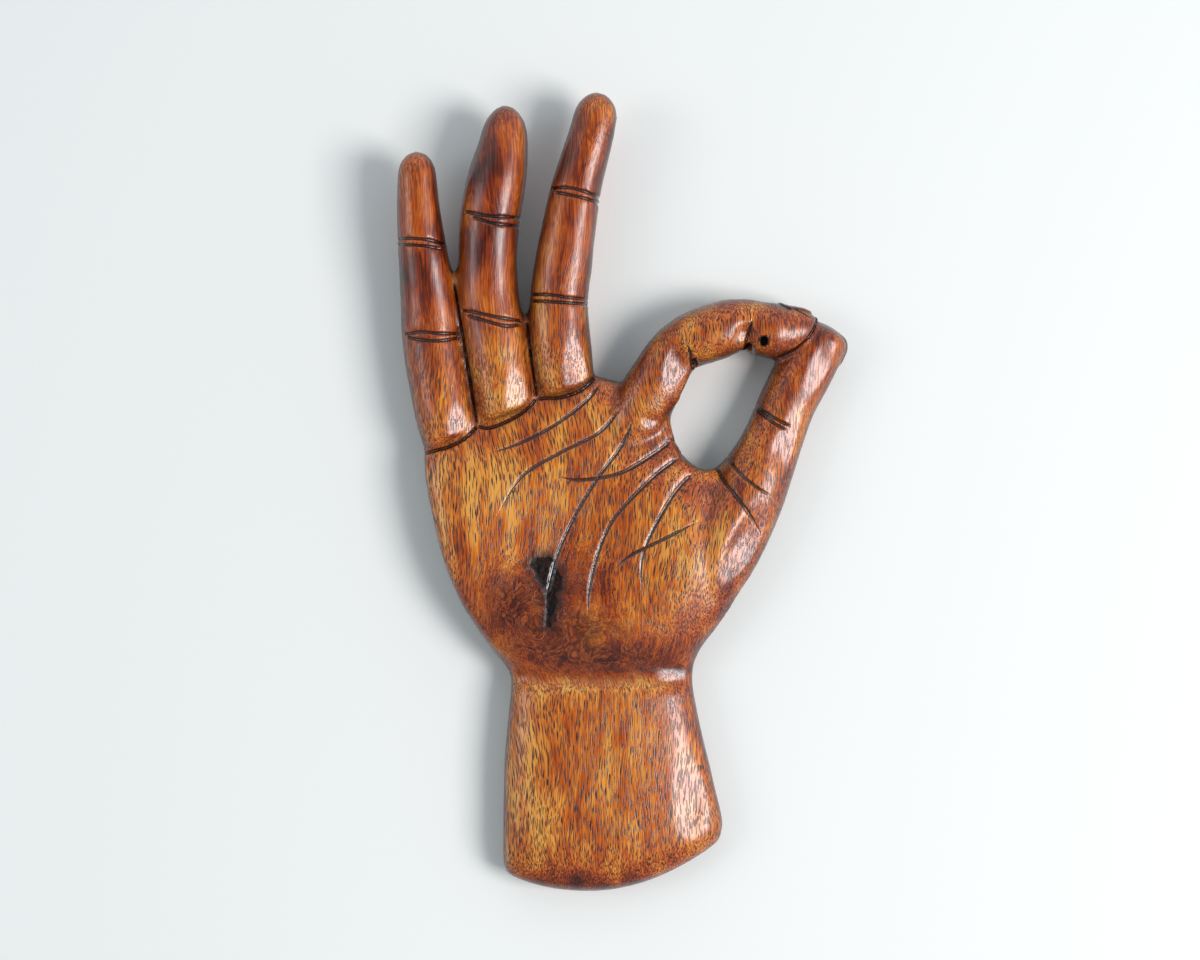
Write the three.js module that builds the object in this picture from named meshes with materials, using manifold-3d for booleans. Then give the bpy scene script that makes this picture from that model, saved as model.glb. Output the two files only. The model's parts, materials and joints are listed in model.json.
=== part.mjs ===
// Right hand carved from one block of hardwood, with a keyhole hanger let in at its back.
// Millimetres. +X to the thumb side, +Y to the fingertips, +Z out of the palm. The back lies on Z = 0.

import * as THREE from "three";
import { mergeVertices } from "three/addons/utils/BufferGeometryUtils.js";
import Module from "manifold-3d";

const wasm = await Module();
wasm.setup();

// Fits and overall sizes
const GAP = 0.3;
const TRIM_DEPTH = 20;
const EDGE_HEIGHT = 6;

// Palm rows from the wrist: left x, y, right x, y, height, bow, depth below the edge, left squareness
const PALM_ROWS = [
  [-41.5, -144.0, 34.5, -132.5, 9.5, 10.8, 12.0, 3.2],
  [-43.8, -142.9, 36.3, -131.0, 13.6, 10.8, 12.0, 3.2],
  [-44.9, -140.0, 37.5, -128.0, 16.6, 10.0, 12.0, 3.2],
  [-45.3, -134.5, 37.9, -124.0, 18.8, 8.5, 12.0, 3.2],
  [-45.2, -126.0, 37.0, -119.0, 20.0, 6.0, 12.0, 3.2],
  [-45.0, -112.0, 34.4, -108.0, 20.2, 2.5, 12.0, 3.2],
  [-44.5, -97.0, 31.5, -96.0, 20.0, 0.5, 12.0, 3.2],
  [-43.0, -82.0, 28.4, -82.0, 19.6, 0.0, 12.0, 3.2],
  [-42.2, -73.5, 26.8, -73.5, 19.0, 0.0, 12.0, 3.2],
  [-42.2, -69.0, 26.6, -69.0, 16.4, 0.0, 12.0, 3.2],
  [-44.0, -65.0, 27.2, -64.0, 17.0, 0.0, 12.0, 3.5],
  [-49.0, -59.0, 30.0, -58.0, 19.4, 0.0, 12.0, 4.4],
  [-54.2, -51.5, 35.2, -51.0, 20.8, 0.0, 12.0, 5.2],
  [-59.2, -44.0, 40.4, -43.5, 21.2, 0.0, 12.0, 6.0],
  [-63.0, -36.5, 44.8, -35.5, 21.2, 0.0, 12.0, 6.6],
  [-66.0, -29.0, 48.4, -28.0, 21.2, 0.0, 12.0, 7.0],
  [-68.6, -21.0, 49.6, -20.0, 21.2, 0.0, 12.0, 7.0],
  [-71.0, -11.5, 48.0, -10.0, 21.0, 0.0, 12.0, 7.0],
  [-73.0, -2.0, 45.5, 0.0, 21.0, 0.0, 12.0, 7.0],
  [-74.5, 7.5, 38.0, 11.0, 20.4, 0.0, 12.0, 6.6],
  [-75.0, 15.0, 25.5, 22.0, 19.2, 0.0, 12.0, 5.8],
  [-74.8, 20.0, 20.5, 33.0, 18.2, -1.5, 12.0, 5.0],
  [-73.5, 26.0, 2.0, 41.5, 17.0, -2.5, 11.0, 4.0],
  [-75.5, 36.0, -15.0, 47.5, 13.0, -3.0, 6.0, 3.4],
  [-75.0, 46.0, -19.0, 57.0, 9.0, -3.0, 1.0, 3.2],
];
const PALM_RIGHT_SQUARENESS = 2.6;
const PALM_STEPS = 52;
const PALM_SIDES = 40;

// Swells and hollows of the palm: x, y, reach in x, reach in y, height
const SWELLS = [
  [27.0, -26.0, 21.0, 25.0, 3.6],
  [-72.0, -14.0, 20.0, 38.0, 1.6],
  [-18.0, -15.0, 25.0, 24.0, -2.4],
  [6.0, 20.0, 10.0, 12.0, -1.2],
];

// Fingers and thumb from root to tip: x, y, z of the axis and half width, end domes, slant of the root face
const LITTLE_FINGER = {
  stations: [
    [-64.0, 19.2, 11.2, 10.6],
    [-66.3, 28.0, 11.6, 11.2],
    [-69.0, 43.0, 11.0, 11.7],
    [-71.4, 58.0, 11.0, 11.6],
    [-72.6, 72.5, 12.4, 11.0],
    [-74.4, 87.5, 15.6, 9.5],
    [-76.0, 102.0, 17.4, 8.4],
    [-76.6, 115.0, 18.4, 7.5],
    [-76.8, 127.8, 19.4, 6.6],
  ],
  root: 4,
  tip: 8,
  slant: 0.27,
};
const RING_FINGER = {
  stations: [
    [-42.8, 28.6, 11.8, 11.4],
    [-44.4, 36.5, 12.0, 11.9],
    [-45.3, 43.0, 12.2, 12.2],
    [-47.9, 58.0, 12.6, 12.4],
    [-50.2, 72.5, 13.6, 11.6],
    [-50.6, 87.5, 15.0, 11.1],
    [-49.8, 102.0, 16.0, 11.3],
    [-47.2, 117.0, 17.0, 11.1],
    [-44.6, 130.5, 17.8, 9.3],
    [-43.4, 145.2, 18.2, 6.6],
  ],
  root: 4,
  tip: 9,
  slant: 0.27,
};
const MIDDLE_FINGER = {
  stations: [
    [-20.0, 37.4, 11.6, 10.8],
    [-21.9, 45.0, 11.8, 11.4],
    [-23.6, 58.0, 12.2, 11.8],
    [-23.9, 73.0, 13.4, 11.0],
    [-22.0, 87.5, 15.0, 10.8],
    [-19.8, 102.0, 16.2, 10.1],
    [-16.7, 117.0, 17.2, 9.3],
    [-12.5, 131.5, 18.2, 8.6],
    [-10.4, 140.0, 18.6, 8.2],
    [-8.8, 149.7, 19.0, 7.0],
  ],
  root: 4,
  tip: 8,
  slant: 0.14,
};
const INDEX_FINGER = {
  stations: [
    [-4.5, 12.0, 3.5, 12.0],
    [2.0, 24.0, 6.5, 12.2],
    [8.6, 35.5, 10.0, 11.4],
    [13.7, 45.0, 12.0, 10.4],
    [18.3, 52.0, 13.0, 10.0],
    [23.2, 56.5, 13.4, 10.2],
    [28.8, 59.1, 13.7, 10.7],
    [35.5, 61.3, 13.7, 10.8],
    [41.2, 63.3, 13.5, 10.3],
    [46.4, 64.0, 13.4, 9.4],
    [51.6, 62.2, 13.2, 10.3],
    [57.0, 61.2, 13.0, 10.7],
    [63.0, 61.7, 12.8, 8.9],
    [73.6, 64.4, 12.4, 5.2],
  ],
  root: 6,
  tip: 6,
  slant: 0,
};
const THUMB = {
  stations: [
    [24.0, -44.0, 6.0, 12.0],
    [35.9, -22.4, 6.6, 15.2],
    [45.8, -3.2, 7.0, 14.6],
    [54.3, 15.8, 7.2, 12.5],
    [61.5, 32.5, 7.2, 11.0],
    [67.6, 45.0, 7.2, 11.2],
    [72.6, 54.0, 7.4, 10.9],
    [77.7, 63.8, 7.6, 10.1],
  ],
  root: 12,
  tip: 5,
  slant: 0,
};
// Folds in the palm side of the bent index finger: the inner end, then the two ends of the mouth
const INDEX_FOLDS = [
  [[24.6, 57.0], [25.4, 46.0], [29.0, 46.0]],
  [[48.2, 65.0], [45.2, 52.0], [48.4, 52.0]],
];
const FOLD_FLOOR = 12.5;

const LIMB_STEP = 5.5;
const LIMB_SIDES = 18;
const LIMB_SQUARENESS = 2.2;
const DOME_STEPS = 4;
const SLANT_REACH = 14;

// Opening that the thumb and the index finger close around
const RING_OUTLINE = [
  [32.3, 9.3],
  [24.0, 13.3],
  [19.0, 22.8],
  [18.3, 30.8],
  [22.0, 42.0],
  [30.0, 52.0],
  [45.0, 57.0],
  [54.5, 48.5],
  [51.2, 36.0],
  [46.6, 25.0],
  [40.5, 15.5],
];
const RING_CENTRE = [36.5, 33.0];
const RING_POINTS = 36;
const RING_BOTTOM = -2;
const RING_TOP = 28;
const RING_WAIST_HEIGHT = 8;
const RING_FLARE = 0.22;
const RING_FLARE_REACH = 12;
const RING_LEVELS = 8;

// Keyhole hanger in the back of the palm
const PLATE_X = -14;
const PLATE_Y = 2;
const PLATE_LENGTH = 42;
const PLATE_WIDTH = 16;
const PLATE_THICKNESS = 1.6;
const PLATE_CORNER = 5;
const PLATE_SINK = 0.4;
const PLATE_SCREW_PITCH = 31;
const KEY_HEAD_RADIUS = 4.6;
const KEY_SLOT_RADIUS = 2.3;
const KEY_HEAD_Y = -4.5;
const KEY_SLOT_Y = 6.5;
const KEY_CAVITY_WIDTH = 11.5;
const KEY_CAVITY_DEPTH = 8;

// Countersunk screws
const SCREW_HEAD_RADIUS = 2.9;
const SCREW_HEAD_HEIGHT = 1.9;
const SCREW_HEAD_RIM = 0.3;
const SCREW_CORE_RADIUS = 1.05;
const SCREW_THREAD_DEPTH = 0.4;
const SCREW_THREAD_PITCH = 1.6;
const SCREW_LENGTH = 12;
const SCREW_POINT = 2.5;
const SCREW_SIDES = 10;
const SCREW_STEP = 0.4;
const CROSS_WIDTH = 3.2;
const CROSS_ARM = 0.8;
const CROSS_DEPTH = 1.1;
const CROSS_CORNER = 0.2;

// Place on a unit section that is rounder than a square and squarer than a circle
function sectionPoint(angle, squareness) {
  const across = Math.cos(angle);
  const lift = Math.max(0, 1 - Math.abs(across) ** squareness) ** (1 / squareness);
  return { across, lift: angle < Math.PI ? lift : -lift };
}

// Wall of triangles through rings of equal point count
function wall(rings) {
  const sides = rings[0].length;
  const index = [];
  for (let row = 0; row < rings.length - 1; row++) {
    for (let side = 0; side < sides; side++) {
      const next = (side + 1) % sides;
      const near = row * sides;
      const far = near + sides;
      index.push(near + side, far + side, near + next);
      index.push(far + side, far + next, near + next);
    }
  }
  return index;
}

function indexed(points, index) {
  const geometry = new THREE.BufferGeometry().setFromPoints(points);
  geometry.setIndex(index);
  return geometry;
}

// Closed surface through rings, shut by a point at each end
function loft(rings, startPoint, endPoint) {
  const sides = rings[0].length;
  const points = [...rings.flat(), startPoint, endPoint];
  const start = points.length - 2;
  const end = points.length - 1;
  const lastRing = (rings.length - 1) * sides;
  const index = wall(rings);
  for (let side = 0; side < sides; side++) {
    const next = (side + 1) % sides;
    index.push(start, side, next);
    index.push(end, lastRing + next, lastRing + side);
  }
  return indexed(points, index);
}

// Closed surface through rings, with upright end faces between their upper and lower halves
function slab(rings) {
  const sides = rings[0].length;
  const lastRing = (rings.length - 1) * sides;
  const index = wall(rings);
  for (let side = 0; side < sides / 2; side++) {
    const corners = [side, side + 1, sides - side - 1, (sides - side) % sides];
    for (const [a, b, c] of [corners.slice(0, 3), [corners[0], corners[2], corners[3]]]) {
      if (a !== b && b !== c && a !== c) {
        index.push(a, b, c);
        index.push(lastRing + a, lastRing + c, lastRing + b);
      }
    }
  }
  return indexed(rings.flat(), index);
}

// Exact solid of a closed geometry
function solid(geometry) {
  const bare = geometry.clone();
  bare.deleteAttribute("normal");
  bare.deleteAttribute("uv");
  const merged = mergeVertices(bare, 1e-4);
  const vertProperties = new Float32Array(merged.attributes.position.array);
  const triVerts = new Uint32Array(merged.index.array);
  return new wasm.Manifold(new wasm.Mesh({ numProp: 3, vertProperties, triVerts }));
}

// Named mesh of a solid
function piece(name, body, material) {
  const result = body.getMesh();
  const geometry = new THREE.BufferGeometry();
  geometry.setAttribute("position", new THREE.BufferAttribute(result.vertProperties, 3));
  geometry.setIndex(new THREE.BufferAttribute(result.triVerts, 1));
  geometry.computeVertexNormals();
  const mesh = new THREE.Mesh(geometry, new THREE.MeshStandardMaterial(material));
  mesh.name = name;
  return mesh;
}

// Height that the swells and hollows add at a place on the palm
function swell(x, y) {
  let height = 0;
  for (const [centreX, centreY, reachX, reachY, rise] of SWELLS) {
    const far = ((x - centreX) / reachX) ** 2 + ((y - centreY) / reachY) ** 2;
    height += rise * Math.exp(-far);
  }
  return height;
}

// Palm and wrist: rows with rounded shoulders over a back that is trimmed flat later
function palmBody() {
  const left = new THREE.CatmullRomCurve3(PALM_ROWS.map((row) => new THREE.Vector3(row[0], row[1], 0)));
  const right = new THREE.CatmullRomCurve3(PALM_ROWS.map((row) => new THREE.Vector3(row[2], row[3], 0)));
  const form = new THREE.CatmullRomCurve3(
    PALM_ROWS.map((row) => new THREE.Vector3(row[4], row[5], row[6])),
    false,
    "catmullrom",
  );
  const corners = new THREE.CatmullRomCurve3(
    PALM_ROWS.map((row) => new THREE.Vector3(row[7], 0, 0)),
    false,
    "catmullrom",
  );
  const rings = [];
  for (let step = 0; step <= PALM_STEPS; step++) {
    const along = step / PALM_STEPS;
    const from = left.getPoint(along);
    const to = right.getPoint(along);
    const { x: top, y: bow, z: depth } = form.getPoint(along);
    const squareness = corners.getPoint(along).x;
    const ring = [];
    for (let side = 0; side < PALM_SIDES; side++) {
      const angle = (side / PALM_SIDES) * 2 * Math.PI;
      const { across, lift } = sectionPoint(angle, Math.cos(angle) > 0 ? PALM_RIGHT_SQUARENESS : squareness);
      const point = from.clone().lerp(to, (across + 1) / 2);
      point.y -= bow * (1 - across ** 2);
      const rise = top - EDGE_HEIGHT + swell(point.x, point.y);
      point.z = EDGE_HEIGHT + lift * (lift > 0 ? rise : depth);
      ring.push(point);
    }
    rings.push(ring);
  }
  return solid(slab(rings));
}

// Finger or thumb: squarish round sections along a bent axis
function limb({ stations, root, tip, slant }) {
  const axis = new THREE.CatmullRomCurve3(stations.map(([x, y, z]) => new THREE.Vector3(x, y, z)));
  const girth = new THREE.CatmullRomCurve3(
    stations.map((station) => new THREE.Vector3(station[3], 0, 0)),
    false,
    "catmullrom",
  );
  const length = axis.getLength();
  const places = [];
  for (let step = 1; step <= DOME_STEPS; step++) {
    const angle = (step / DOME_STEPS) * (Math.PI / 2);
    places.push([root * (1 - Math.cos(angle)), Math.sin(angle)]);
  }
  const shaftSteps = Math.round((length - root - tip) / LIMB_STEP);
  for (let step = 1; step < shaftSteps; step++) {
    places.push([root + ((length - root - tip) * step) / shaftSteps, 1]);
  }
  for (let step = DOME_STEPS; step >= 1; step--) {
    const angle = (step / DOME_STEPS) * (Math.PI / 2);
    places.push([length - tip * (1 - Math.cos(angle)), Math.sin(angle)]);
  }
  const rings = places.map(([distance, share]) => {
    const at = axis.getUtoTmapping(distance / length);
    const centre = axis.getPoint(at);
    const along = axis.getTangent(at);
    const half = girth.getPoint(at).x * share;
    const sideways = new THREE.Vector3(along.y, -along.x, 0).normalize();
    const upwards = sideways.clone().cross(along);
    const ring = [];
    for (let side = 0; side < LIMB_SIDES; side++) {
      const angle = (side / LIMB_SIDES) * 2 * Math.PI;
      const { across, lift } = sectionPoint(angle, LIMB_SQUARENESS);
      const lean = slant * across * half * Math.max(0, 1 - distance / SLANT_REACH);
      const point = centre.clone().addScaledVector(along, lean);
      point.addScaledVector(sideways, across * half);
      point.addScaledVector(upwards, lift * half);
      ring.push(point);
    }
    return ring;
  });
  return solid(loft(rings, axis.getPoint(0), axis.getPoint(1)));
}

// Waisted plug that opens the ring and rounds its rim
function ringOpening() {
  const outline = new THREE.CatmullRomCurve3(
    RING_OUTLINE.map(([x, y]) => new THREE.Vector3(x, y, 0)),
    true,
  );
  const centre = new THREE.Vector3(RING_CENTRE[0], RING_CENTRE[1], 0);
  const base = outline.getSpacedPoints(RING_POINTS).slice(0, RING_POINTS);
  const rings = [];
  for (let level = 0; level <= RING_LEVELS; level++) {
    const height = RING_BOTTOM + ((RING_TOP - RING_BOTTOM) * level) / RING_LEVELS;
    const away = (height - RING_WAIST_HEIGHT) / RING_FLARE_REACH;
    const grow = 1 + RING_FLARE * away ** 4;
    rings.push(base.map((point) => centre.clone().lerp(point, grow).setZ(height)));
  }
  return solid(loft(rings, centre.clone().setZ(RING_BOTTOM), centre.clone().setZ(RING_TOP)));
}

// Upright solid of a flat outline between two heights
function prism(shape, low, high, curveSegments = 6) {
  const settings = { depth: high - low, bevelEnabled: false, curveSegments };
  const geometry = new THREE.ExtrudeGeometry(shape, settings);
  geometry.translate(0, 0, low);
  return solid(geometry);
}

// Rectangle with round corners, centred
function roundedRectangle(width, length, corner) {
  const shape = new THREE.Shape();
  const x = width / 2 - corner;
  const y = length / 2 - corner;
  shape.absarc(x, y, corner, 0, Math.PI / 2);
  shape.absarc(-x, y, corner, Math.PI / 2, Math.PI);
  shape.absarc(-x, -y, corner, Math.PI, 1.5 * Math.PI);
  shape.absarc(x, -y, corner, 1.5 * Math.PI, 2 * Math.PI);
  shape.closePath();
  return shape;
}

// Keyhole: a round hole with a narrower slot above it
function keyholeOutline() {
  const shape = new THREE.Shape();
  const turn = Math.asin(KEY_SLOT_RADIUS / KEY_HEAD_RADIUS);
  shape.absarc(0, KEY_HEAD_Y, KEY_HEAD_RADIUS, Math.PI / 2 + turn, Math.PI / 2 - turn + 2 * Math.PI);
  shape.absarc(0, KEY_SLOT_Y, KEY_SLOT_RADIUS, 0, Math.PI);
  shape.closePath();
  return shape;
}

// Countersunk hole for a screw, from outside the plate into the wood
function screwHole(clearance) {
  const profile = [
    new THREE.Vector2(0, -1),
    new THREE.Vector2(SCREW_HEAD_RADIUS + clearance, -1),
    new THREE.Vector2(SCREW_HEAD_RADIUS + clearance, SCREW_HEAD_RIM),
    new THREE.Vector2(SCREW_CORE_RADIUS + SCREW_THREAD_DEPTH + clearance, SCREW_HEAD_HEIGHT),
    new THREE.Vector2(SCREW_CORE_RADIUS + SCREW_THREAD_DEPTH + clearance, SCREW_LENGTH + clearance),
    new THREE.Vector2(0, SCREW_LENGTH + clearance),
  ];
  const geometry = new THREE.LatheGeometry(profile, 24);
  geometry.rotateX(Math.PI / 2);
  return solid(geometry);
}

// Radius of the screw at a depth below its head and at a turn around its axis
function screwRadius(depth, turn) {
  const shank = SCREW_CORE_RADIUS + SCREW_THREAD_DEPTH;
  if (depth <= SCREW_HEAD_RIM) {
    return SCREW_HEAD_RADIUS;
  }
  if (depth <= SCREW_HEAD_HEIGHT) {
    return THREE.MathUtils.mapLinear(depth, SCREW_HEAD_RIM, SCREW_HEAD_HEIGHT, SCREW_HEAD_RADIUS, shank);
  }
  const phase = THREE.MathUtils.euclideanModulo(depth / SCREW_THREAD_PITCH - turn, 1);
  const thread = Math.max(0, 1 - Math.abs(phase - 0.5) * 4);
  const taper = Math.min(1, (SCREW_LENGTH - depth) / SCREW_POINT);
  return (SCREW_CORE_RADIUS + SCREW_THREAD_DEPTH * thread) * taper;
}

// Wood screw that points into the hand, with a cross recess in its head
function screwBody() {
  const rings = [];
  const depths = [0, SCREW_HEAD_RIM, SCREW_HEAD_HEIGHT];
  for (let depth = SCREW_HEAD_HEIGHT + SCREW_STEP; depth < SCREW_LENGTH - 0.2; depth += SCREW_STEP) {
    depths.push(depth);
  }
  for (const depth of depths) {
    const ring = [];
    for (let side = 0; side < SCREW_SIDES; side++) {
      const turn = side / SCREW_SIDES;
      const radius = screwRadius(depth, turn);
      const angle = turn * 2 * Math.PI;
      ring.push(new THREE.Vector3(radius * Math.cos(angle), -radius * Math.sin(angle), depth));
    }
    rings.push(ring);
  }
  const body = solid(loft(rings, new THREE.Vector3(), new THREE.Vector3(0, 0, SCREW_LENGTH)));
  const wide = prism(roundedRectangle(CROSS_WIDTH, CROSS_ARM, CROSS_CORNER), -1, CROSS_DEPTH, 1);
  const tall = prism(roundedRectangle(CROSS_ARM, CROSS_WIDTH, CROSS_CORNER), -1, CROSS_DEPTH, 1);
  return body.subtract(wide.add(tall));
}

// Wood
const ring = ringOpening();
let wood = palmBody().add(limb(THUMB)).subtract(ring);
for (const finger of [LITTLE_FINGER, RING_FINGER, MIDDLE_FINGER]) {
  wood = wood.add(limb(finger));
}
let indexFinger = limb(INDEX_FINGER);
for (const fold of INDEX_FOLDS) {
  const outline = new THREE.Shape(fold.map(([x, y]) => new THREE.Vector2(x, y)));
  indexFinger = indexFinger.subtract(prism(outline, FOLD_FLOOR, 45));
}
wood = wood.add(indexFinger);
wood = wood.subtract(solid(new THREE.BoxGeometry(400, 400, TRIM_DEPTH).translate(0, 0, -TRIM_DEPTH / 2)));

// Pocket for the hanger, with room behind it for the head of a wall screw
const onPlate = (body) => body.translate([PLATE_X, PLATE_Y, PLATE_SINK]);
const pocketTop = PLATE_THICKNESS + GAP;
const pocketShape = roundedRectangle(PLATE_WIDTH + 2 * GAP, PLATE_LENGTH + 2 * GAP, PLATE_CORNER + GAP);
const cavityLength = KEY_SLOT_Y - KEY_HEAD_Y + KEY_CAVITY_WIDTH;
const cavityShape = roundedRectangle(KEY_CAVITY_WIDTH, cavityLength, KEY_CAVITY_WIDTH / 2 - 0.01);
const cavityMiddle = [0, (KEY_SLOT_Y + KEY_HEAD_Y) / 2, 0];
const cavity = prism(cavityShape, pocketTop - 0.5, KEY_CAVITY_DEPTH).translate(cavityMiddle);
wood = wood.subtract(onPlate(prism(pocketShape, -5, pocketTop).add(cavity)));

let plate = prism(roundedRectangle(PLATE_WIDTH, PLATE_LENGTH, PLATE_CORNER), 0, PLATE_THICKNESS);
plate = plate.subtract(prism(keyholeOutline(), -1, PLATE_THICKNESS + 1, 16));
const screws = [];
for (const end of [1, -1]) {
  const place = [0, (end * PLATE_SCREW_PITCH) / 2, 0];
  const hole = screwHole(GAP).translate(place);
  plate = plate.subtract(hole);
  wood = wood.subtract(onPlate(hole));
  screws.push(onPlate(screwBody().translate(place)));
}

const hand = new THREE.Group();
hand.name = "carved_hand_ornament";
hand.add(piece("carved_hand", wood, { color: 0x9a5b2a, roughness: 0.38, metalness: 0 }));
hand.add(piece("keyhole_plate", onPlate(plate), { color: 0xb5a06a, roughness: 0.4, metalness: 1 }));
hand.add(piece("plate_screw_upper", screws[0], { color: 0xb9a878, roughness: 0.35, metalness: 1 }));
hand.add(piece("plate_screw_lower", screws[1], { color: 0xb9a878, roughness: 0.35, metalness: 1 }));

export default hand;
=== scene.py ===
"""Hand carved from one block of hardwood, with a keyhole hanger let into its back.

Metres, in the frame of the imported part: +X to the thumb, +Y to the fingertips, +Z out of the palm.
"""

from __future__ import annotations

import json
import logging
import math
from dataclasses import dataclass
from enum import Enum
from functools import partial
from typing import Any

import bmesh
import bpy
import numpy as np
from mathutils import Matrix, Vector, noise
from mathutils.kdtree import KDTree

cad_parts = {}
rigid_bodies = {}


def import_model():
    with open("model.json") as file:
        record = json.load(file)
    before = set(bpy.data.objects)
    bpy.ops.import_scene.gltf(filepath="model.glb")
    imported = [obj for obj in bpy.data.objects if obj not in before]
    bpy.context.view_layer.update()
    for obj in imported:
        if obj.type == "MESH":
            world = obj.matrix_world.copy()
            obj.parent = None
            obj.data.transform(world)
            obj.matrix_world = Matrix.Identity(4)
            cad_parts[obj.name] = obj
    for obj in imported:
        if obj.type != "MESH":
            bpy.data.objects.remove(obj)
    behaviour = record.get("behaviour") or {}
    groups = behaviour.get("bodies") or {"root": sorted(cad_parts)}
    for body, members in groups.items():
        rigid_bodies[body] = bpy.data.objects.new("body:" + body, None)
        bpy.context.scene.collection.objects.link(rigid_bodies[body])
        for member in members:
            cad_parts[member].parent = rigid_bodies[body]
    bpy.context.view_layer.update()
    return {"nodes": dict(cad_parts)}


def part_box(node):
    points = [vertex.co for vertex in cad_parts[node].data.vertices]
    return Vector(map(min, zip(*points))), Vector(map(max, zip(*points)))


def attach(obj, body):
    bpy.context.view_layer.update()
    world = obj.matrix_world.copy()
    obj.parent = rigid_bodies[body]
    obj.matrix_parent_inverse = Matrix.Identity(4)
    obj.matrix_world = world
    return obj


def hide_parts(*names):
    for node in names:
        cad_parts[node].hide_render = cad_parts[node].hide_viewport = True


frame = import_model()

MM = 0.001
LOG = logging.getLogger("carved_hand")

Point = tuple[float, float]
Triple = tuple[float, float, float]
Shades = tuple[tuple[float, str], ...]

# Short names of Blender's types
Tree = bpy.types.NodeTree
Socket = bpy.types.NodeSocket
Piece = bpy.types.Object
Mesh = bpy.types.Mesh
Material = bpy.types.Material
Body = bmesh.types.BMesh

# Settings that many nodes share
SMOOTH = {"interpolation_type": "SMOOTHSTEP"}
TIMES = {"operation": "MULTIPLY"}
TIMES_PLUS = {"operation": "MULTIPLY_ADD"}
BLEND = {"data_type": "RGBA"}


class Stroke(Enum):
    """Way that a gouge is driven into the wood."""

    SQUARE_TO_SURFACE = 0.0
    STRAIGHT_DOWN = 1.0


def linear(colour: str) -> tuple[float, float, float, float]:
    """Turns an sRGB hex colour to linear light.

    Args:
        colour: "#RRGGBB".

    Returns:
        Linear red, green, blue and an alpha of one.
    """
    values = [int(colour[start : start + 2], 16) / 255 for start in (1, 3, 5)]
    red, green, blue = (v / 12.92 if v <= 0.04045 else ((v + 0.055) / 1.055) ** 2.4 for v in values)
    return red, green, blue, 1.0


def add_node(
    tree: Tree,
    kind: str,
    settings: dict[str, Any] | None = None,
    inputs: dict[int | str, Any] | None = None,
    out: int | str = 0,
) -> Socket | None:
    """Adds one node with its settings, and links or fills its inputs.

    Args:
        tree: Tree that the node joins.
        kind: Blender's name of the node type.
        settings: Properties of the node.
        inputs: Sockets to link, or values to set, by input name or number.
        out: Name or number of the output that is wanted.

    Returns:
        That output, or None from a node without outputs.
    """
    node = tree.nodes.new(kind)
    for name, value in (settings or {}).items():
        setattr(node, name, value)
    for key, value in (inputs or {}).items():
        if isinstance(value, Socket):
            tree.links.new(value, node.inputs[key])
        else:
            node.inputs[key].default_value = value
    return node.outputs[out] if node.outputs else None


def clear_tree(owner: Material | bpy.types.World) -> Tree:
    """Gives a material or a world an empty node tree.

    Args:
        owner: Material or world.

    Returns:
        Its node tree.
    """
    owner.use_nodes = True
    owner.node_tree.nodes.clear()
    return owner.node_tree


def weighted_sum(tree: Tree, start: Socket | float, parts: tuple[tuple[Socket, float], ...]) -> Socket:
    """Adds weighted values to a first one.

    Args:
        tree: Tree that the sum joins.
        start: First value.
        parts: Values and their weights.

    Returns:
        Socket that gives the sum.
    """
    total = start
    for value, weight in parts:
        total = add_node(tree, "ShaderNodeMath", TIMES_PLUS, {0: value, 1: weight, 2: total})
    return total


def stretched_noise(tree: Tree, place: Socket, cell: Triple, detail: float, out: str = "Fac") -> Socket:
    """Adds noise with cells of a given size.

    Args:
        tree: Tree that the noise joins.
        place: Socket that gives the place.
        cell: Size of a cell in x, y and z, in the units of the place.
        detail: Number of finer layers.
        out: Name of the output that is wanted.

    Returns:
        That output.
    """
    scale = tuple(1 / size for size in cell)
    cells = add_node(tree, "ShaderNodeMapping", inputs={"Vector": place, "Scale": scale})
    cloud = {"Vector": cells, "Scale": 1.0, "Detail": detail}
    return add_node(tree, "ShaderNodeTexNoise", inputs=cloud, out=out)


def open_tree(tree: Tree, kinds: dict[str, str]) -> dict[str, str]:
    """Gives a geometry tree its geometry in and out, and its named inputs.

    Args:
        tree: Geometry Nodes tree.
        kinds: Kind of socket of each named input.

    Returns:
        The key of each named input on a modifier that uses the tree.
    """
    face = tree.interface
    face.new_socket("Geometry", in_out="INPUT", socket_type="NodeSocketGeometry")
    keys = {
        name: face.new_socket(name, in_out="INPUT", socket_type="NodeSocket" + kind).identifier
        for name, kind in kinds.items()
    }
    face.new_socket("Geometry", in_out="OUTPUT", socket_type="NodeSocketGeometry")
    return keys


def close_tree(tree: Tree, shape: Socket, material: Socket) -> None:
    """Ends a geometry tree with real meshes in their finish.

    Args:
        tree: Geometry Nodes tree.
        shape: Socket that gives the geometry.
        material: Socket that gives the finish.
    """
    real = add_node(tree, "GeometryNodeRealizeInstances", inputs={"Geometry": shape})
    finish = {"Geometry": real, "Material": material}
    dressed = add_node(tree, "GeometryNodeSetMaterial", inputs=finish)
    add_node(tree, "NodeGroupOutput", inputs={0: dressed})


def new_piece(name: str, mesh: Mesh) -> Piece:
    """Links a mesh to the scene as an object at the origin.

    Args:
        name: Name of the piece.
        mesh: Its mesh, already in place.

    Returns:
        The new object.
    """
    piece = bpy.data.objects.new(name, mesh)
    bpy.context.scene.collection.objects.link(piece)
    return piece


def piece_from(name: str, body: Body) -> Piece:
    """Turns a body into an object of the scene, at the origin.

    Args:
        name: Name of the piece and its mesh.
        body: Shape of the piece, which is freed.

    Returns:
        The new object.
    """
    mesh = bpy.data.meshes.new(name)
    body.to_mesh(mesh)
    body.free()
    return new_piece(name, mesh)


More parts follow.
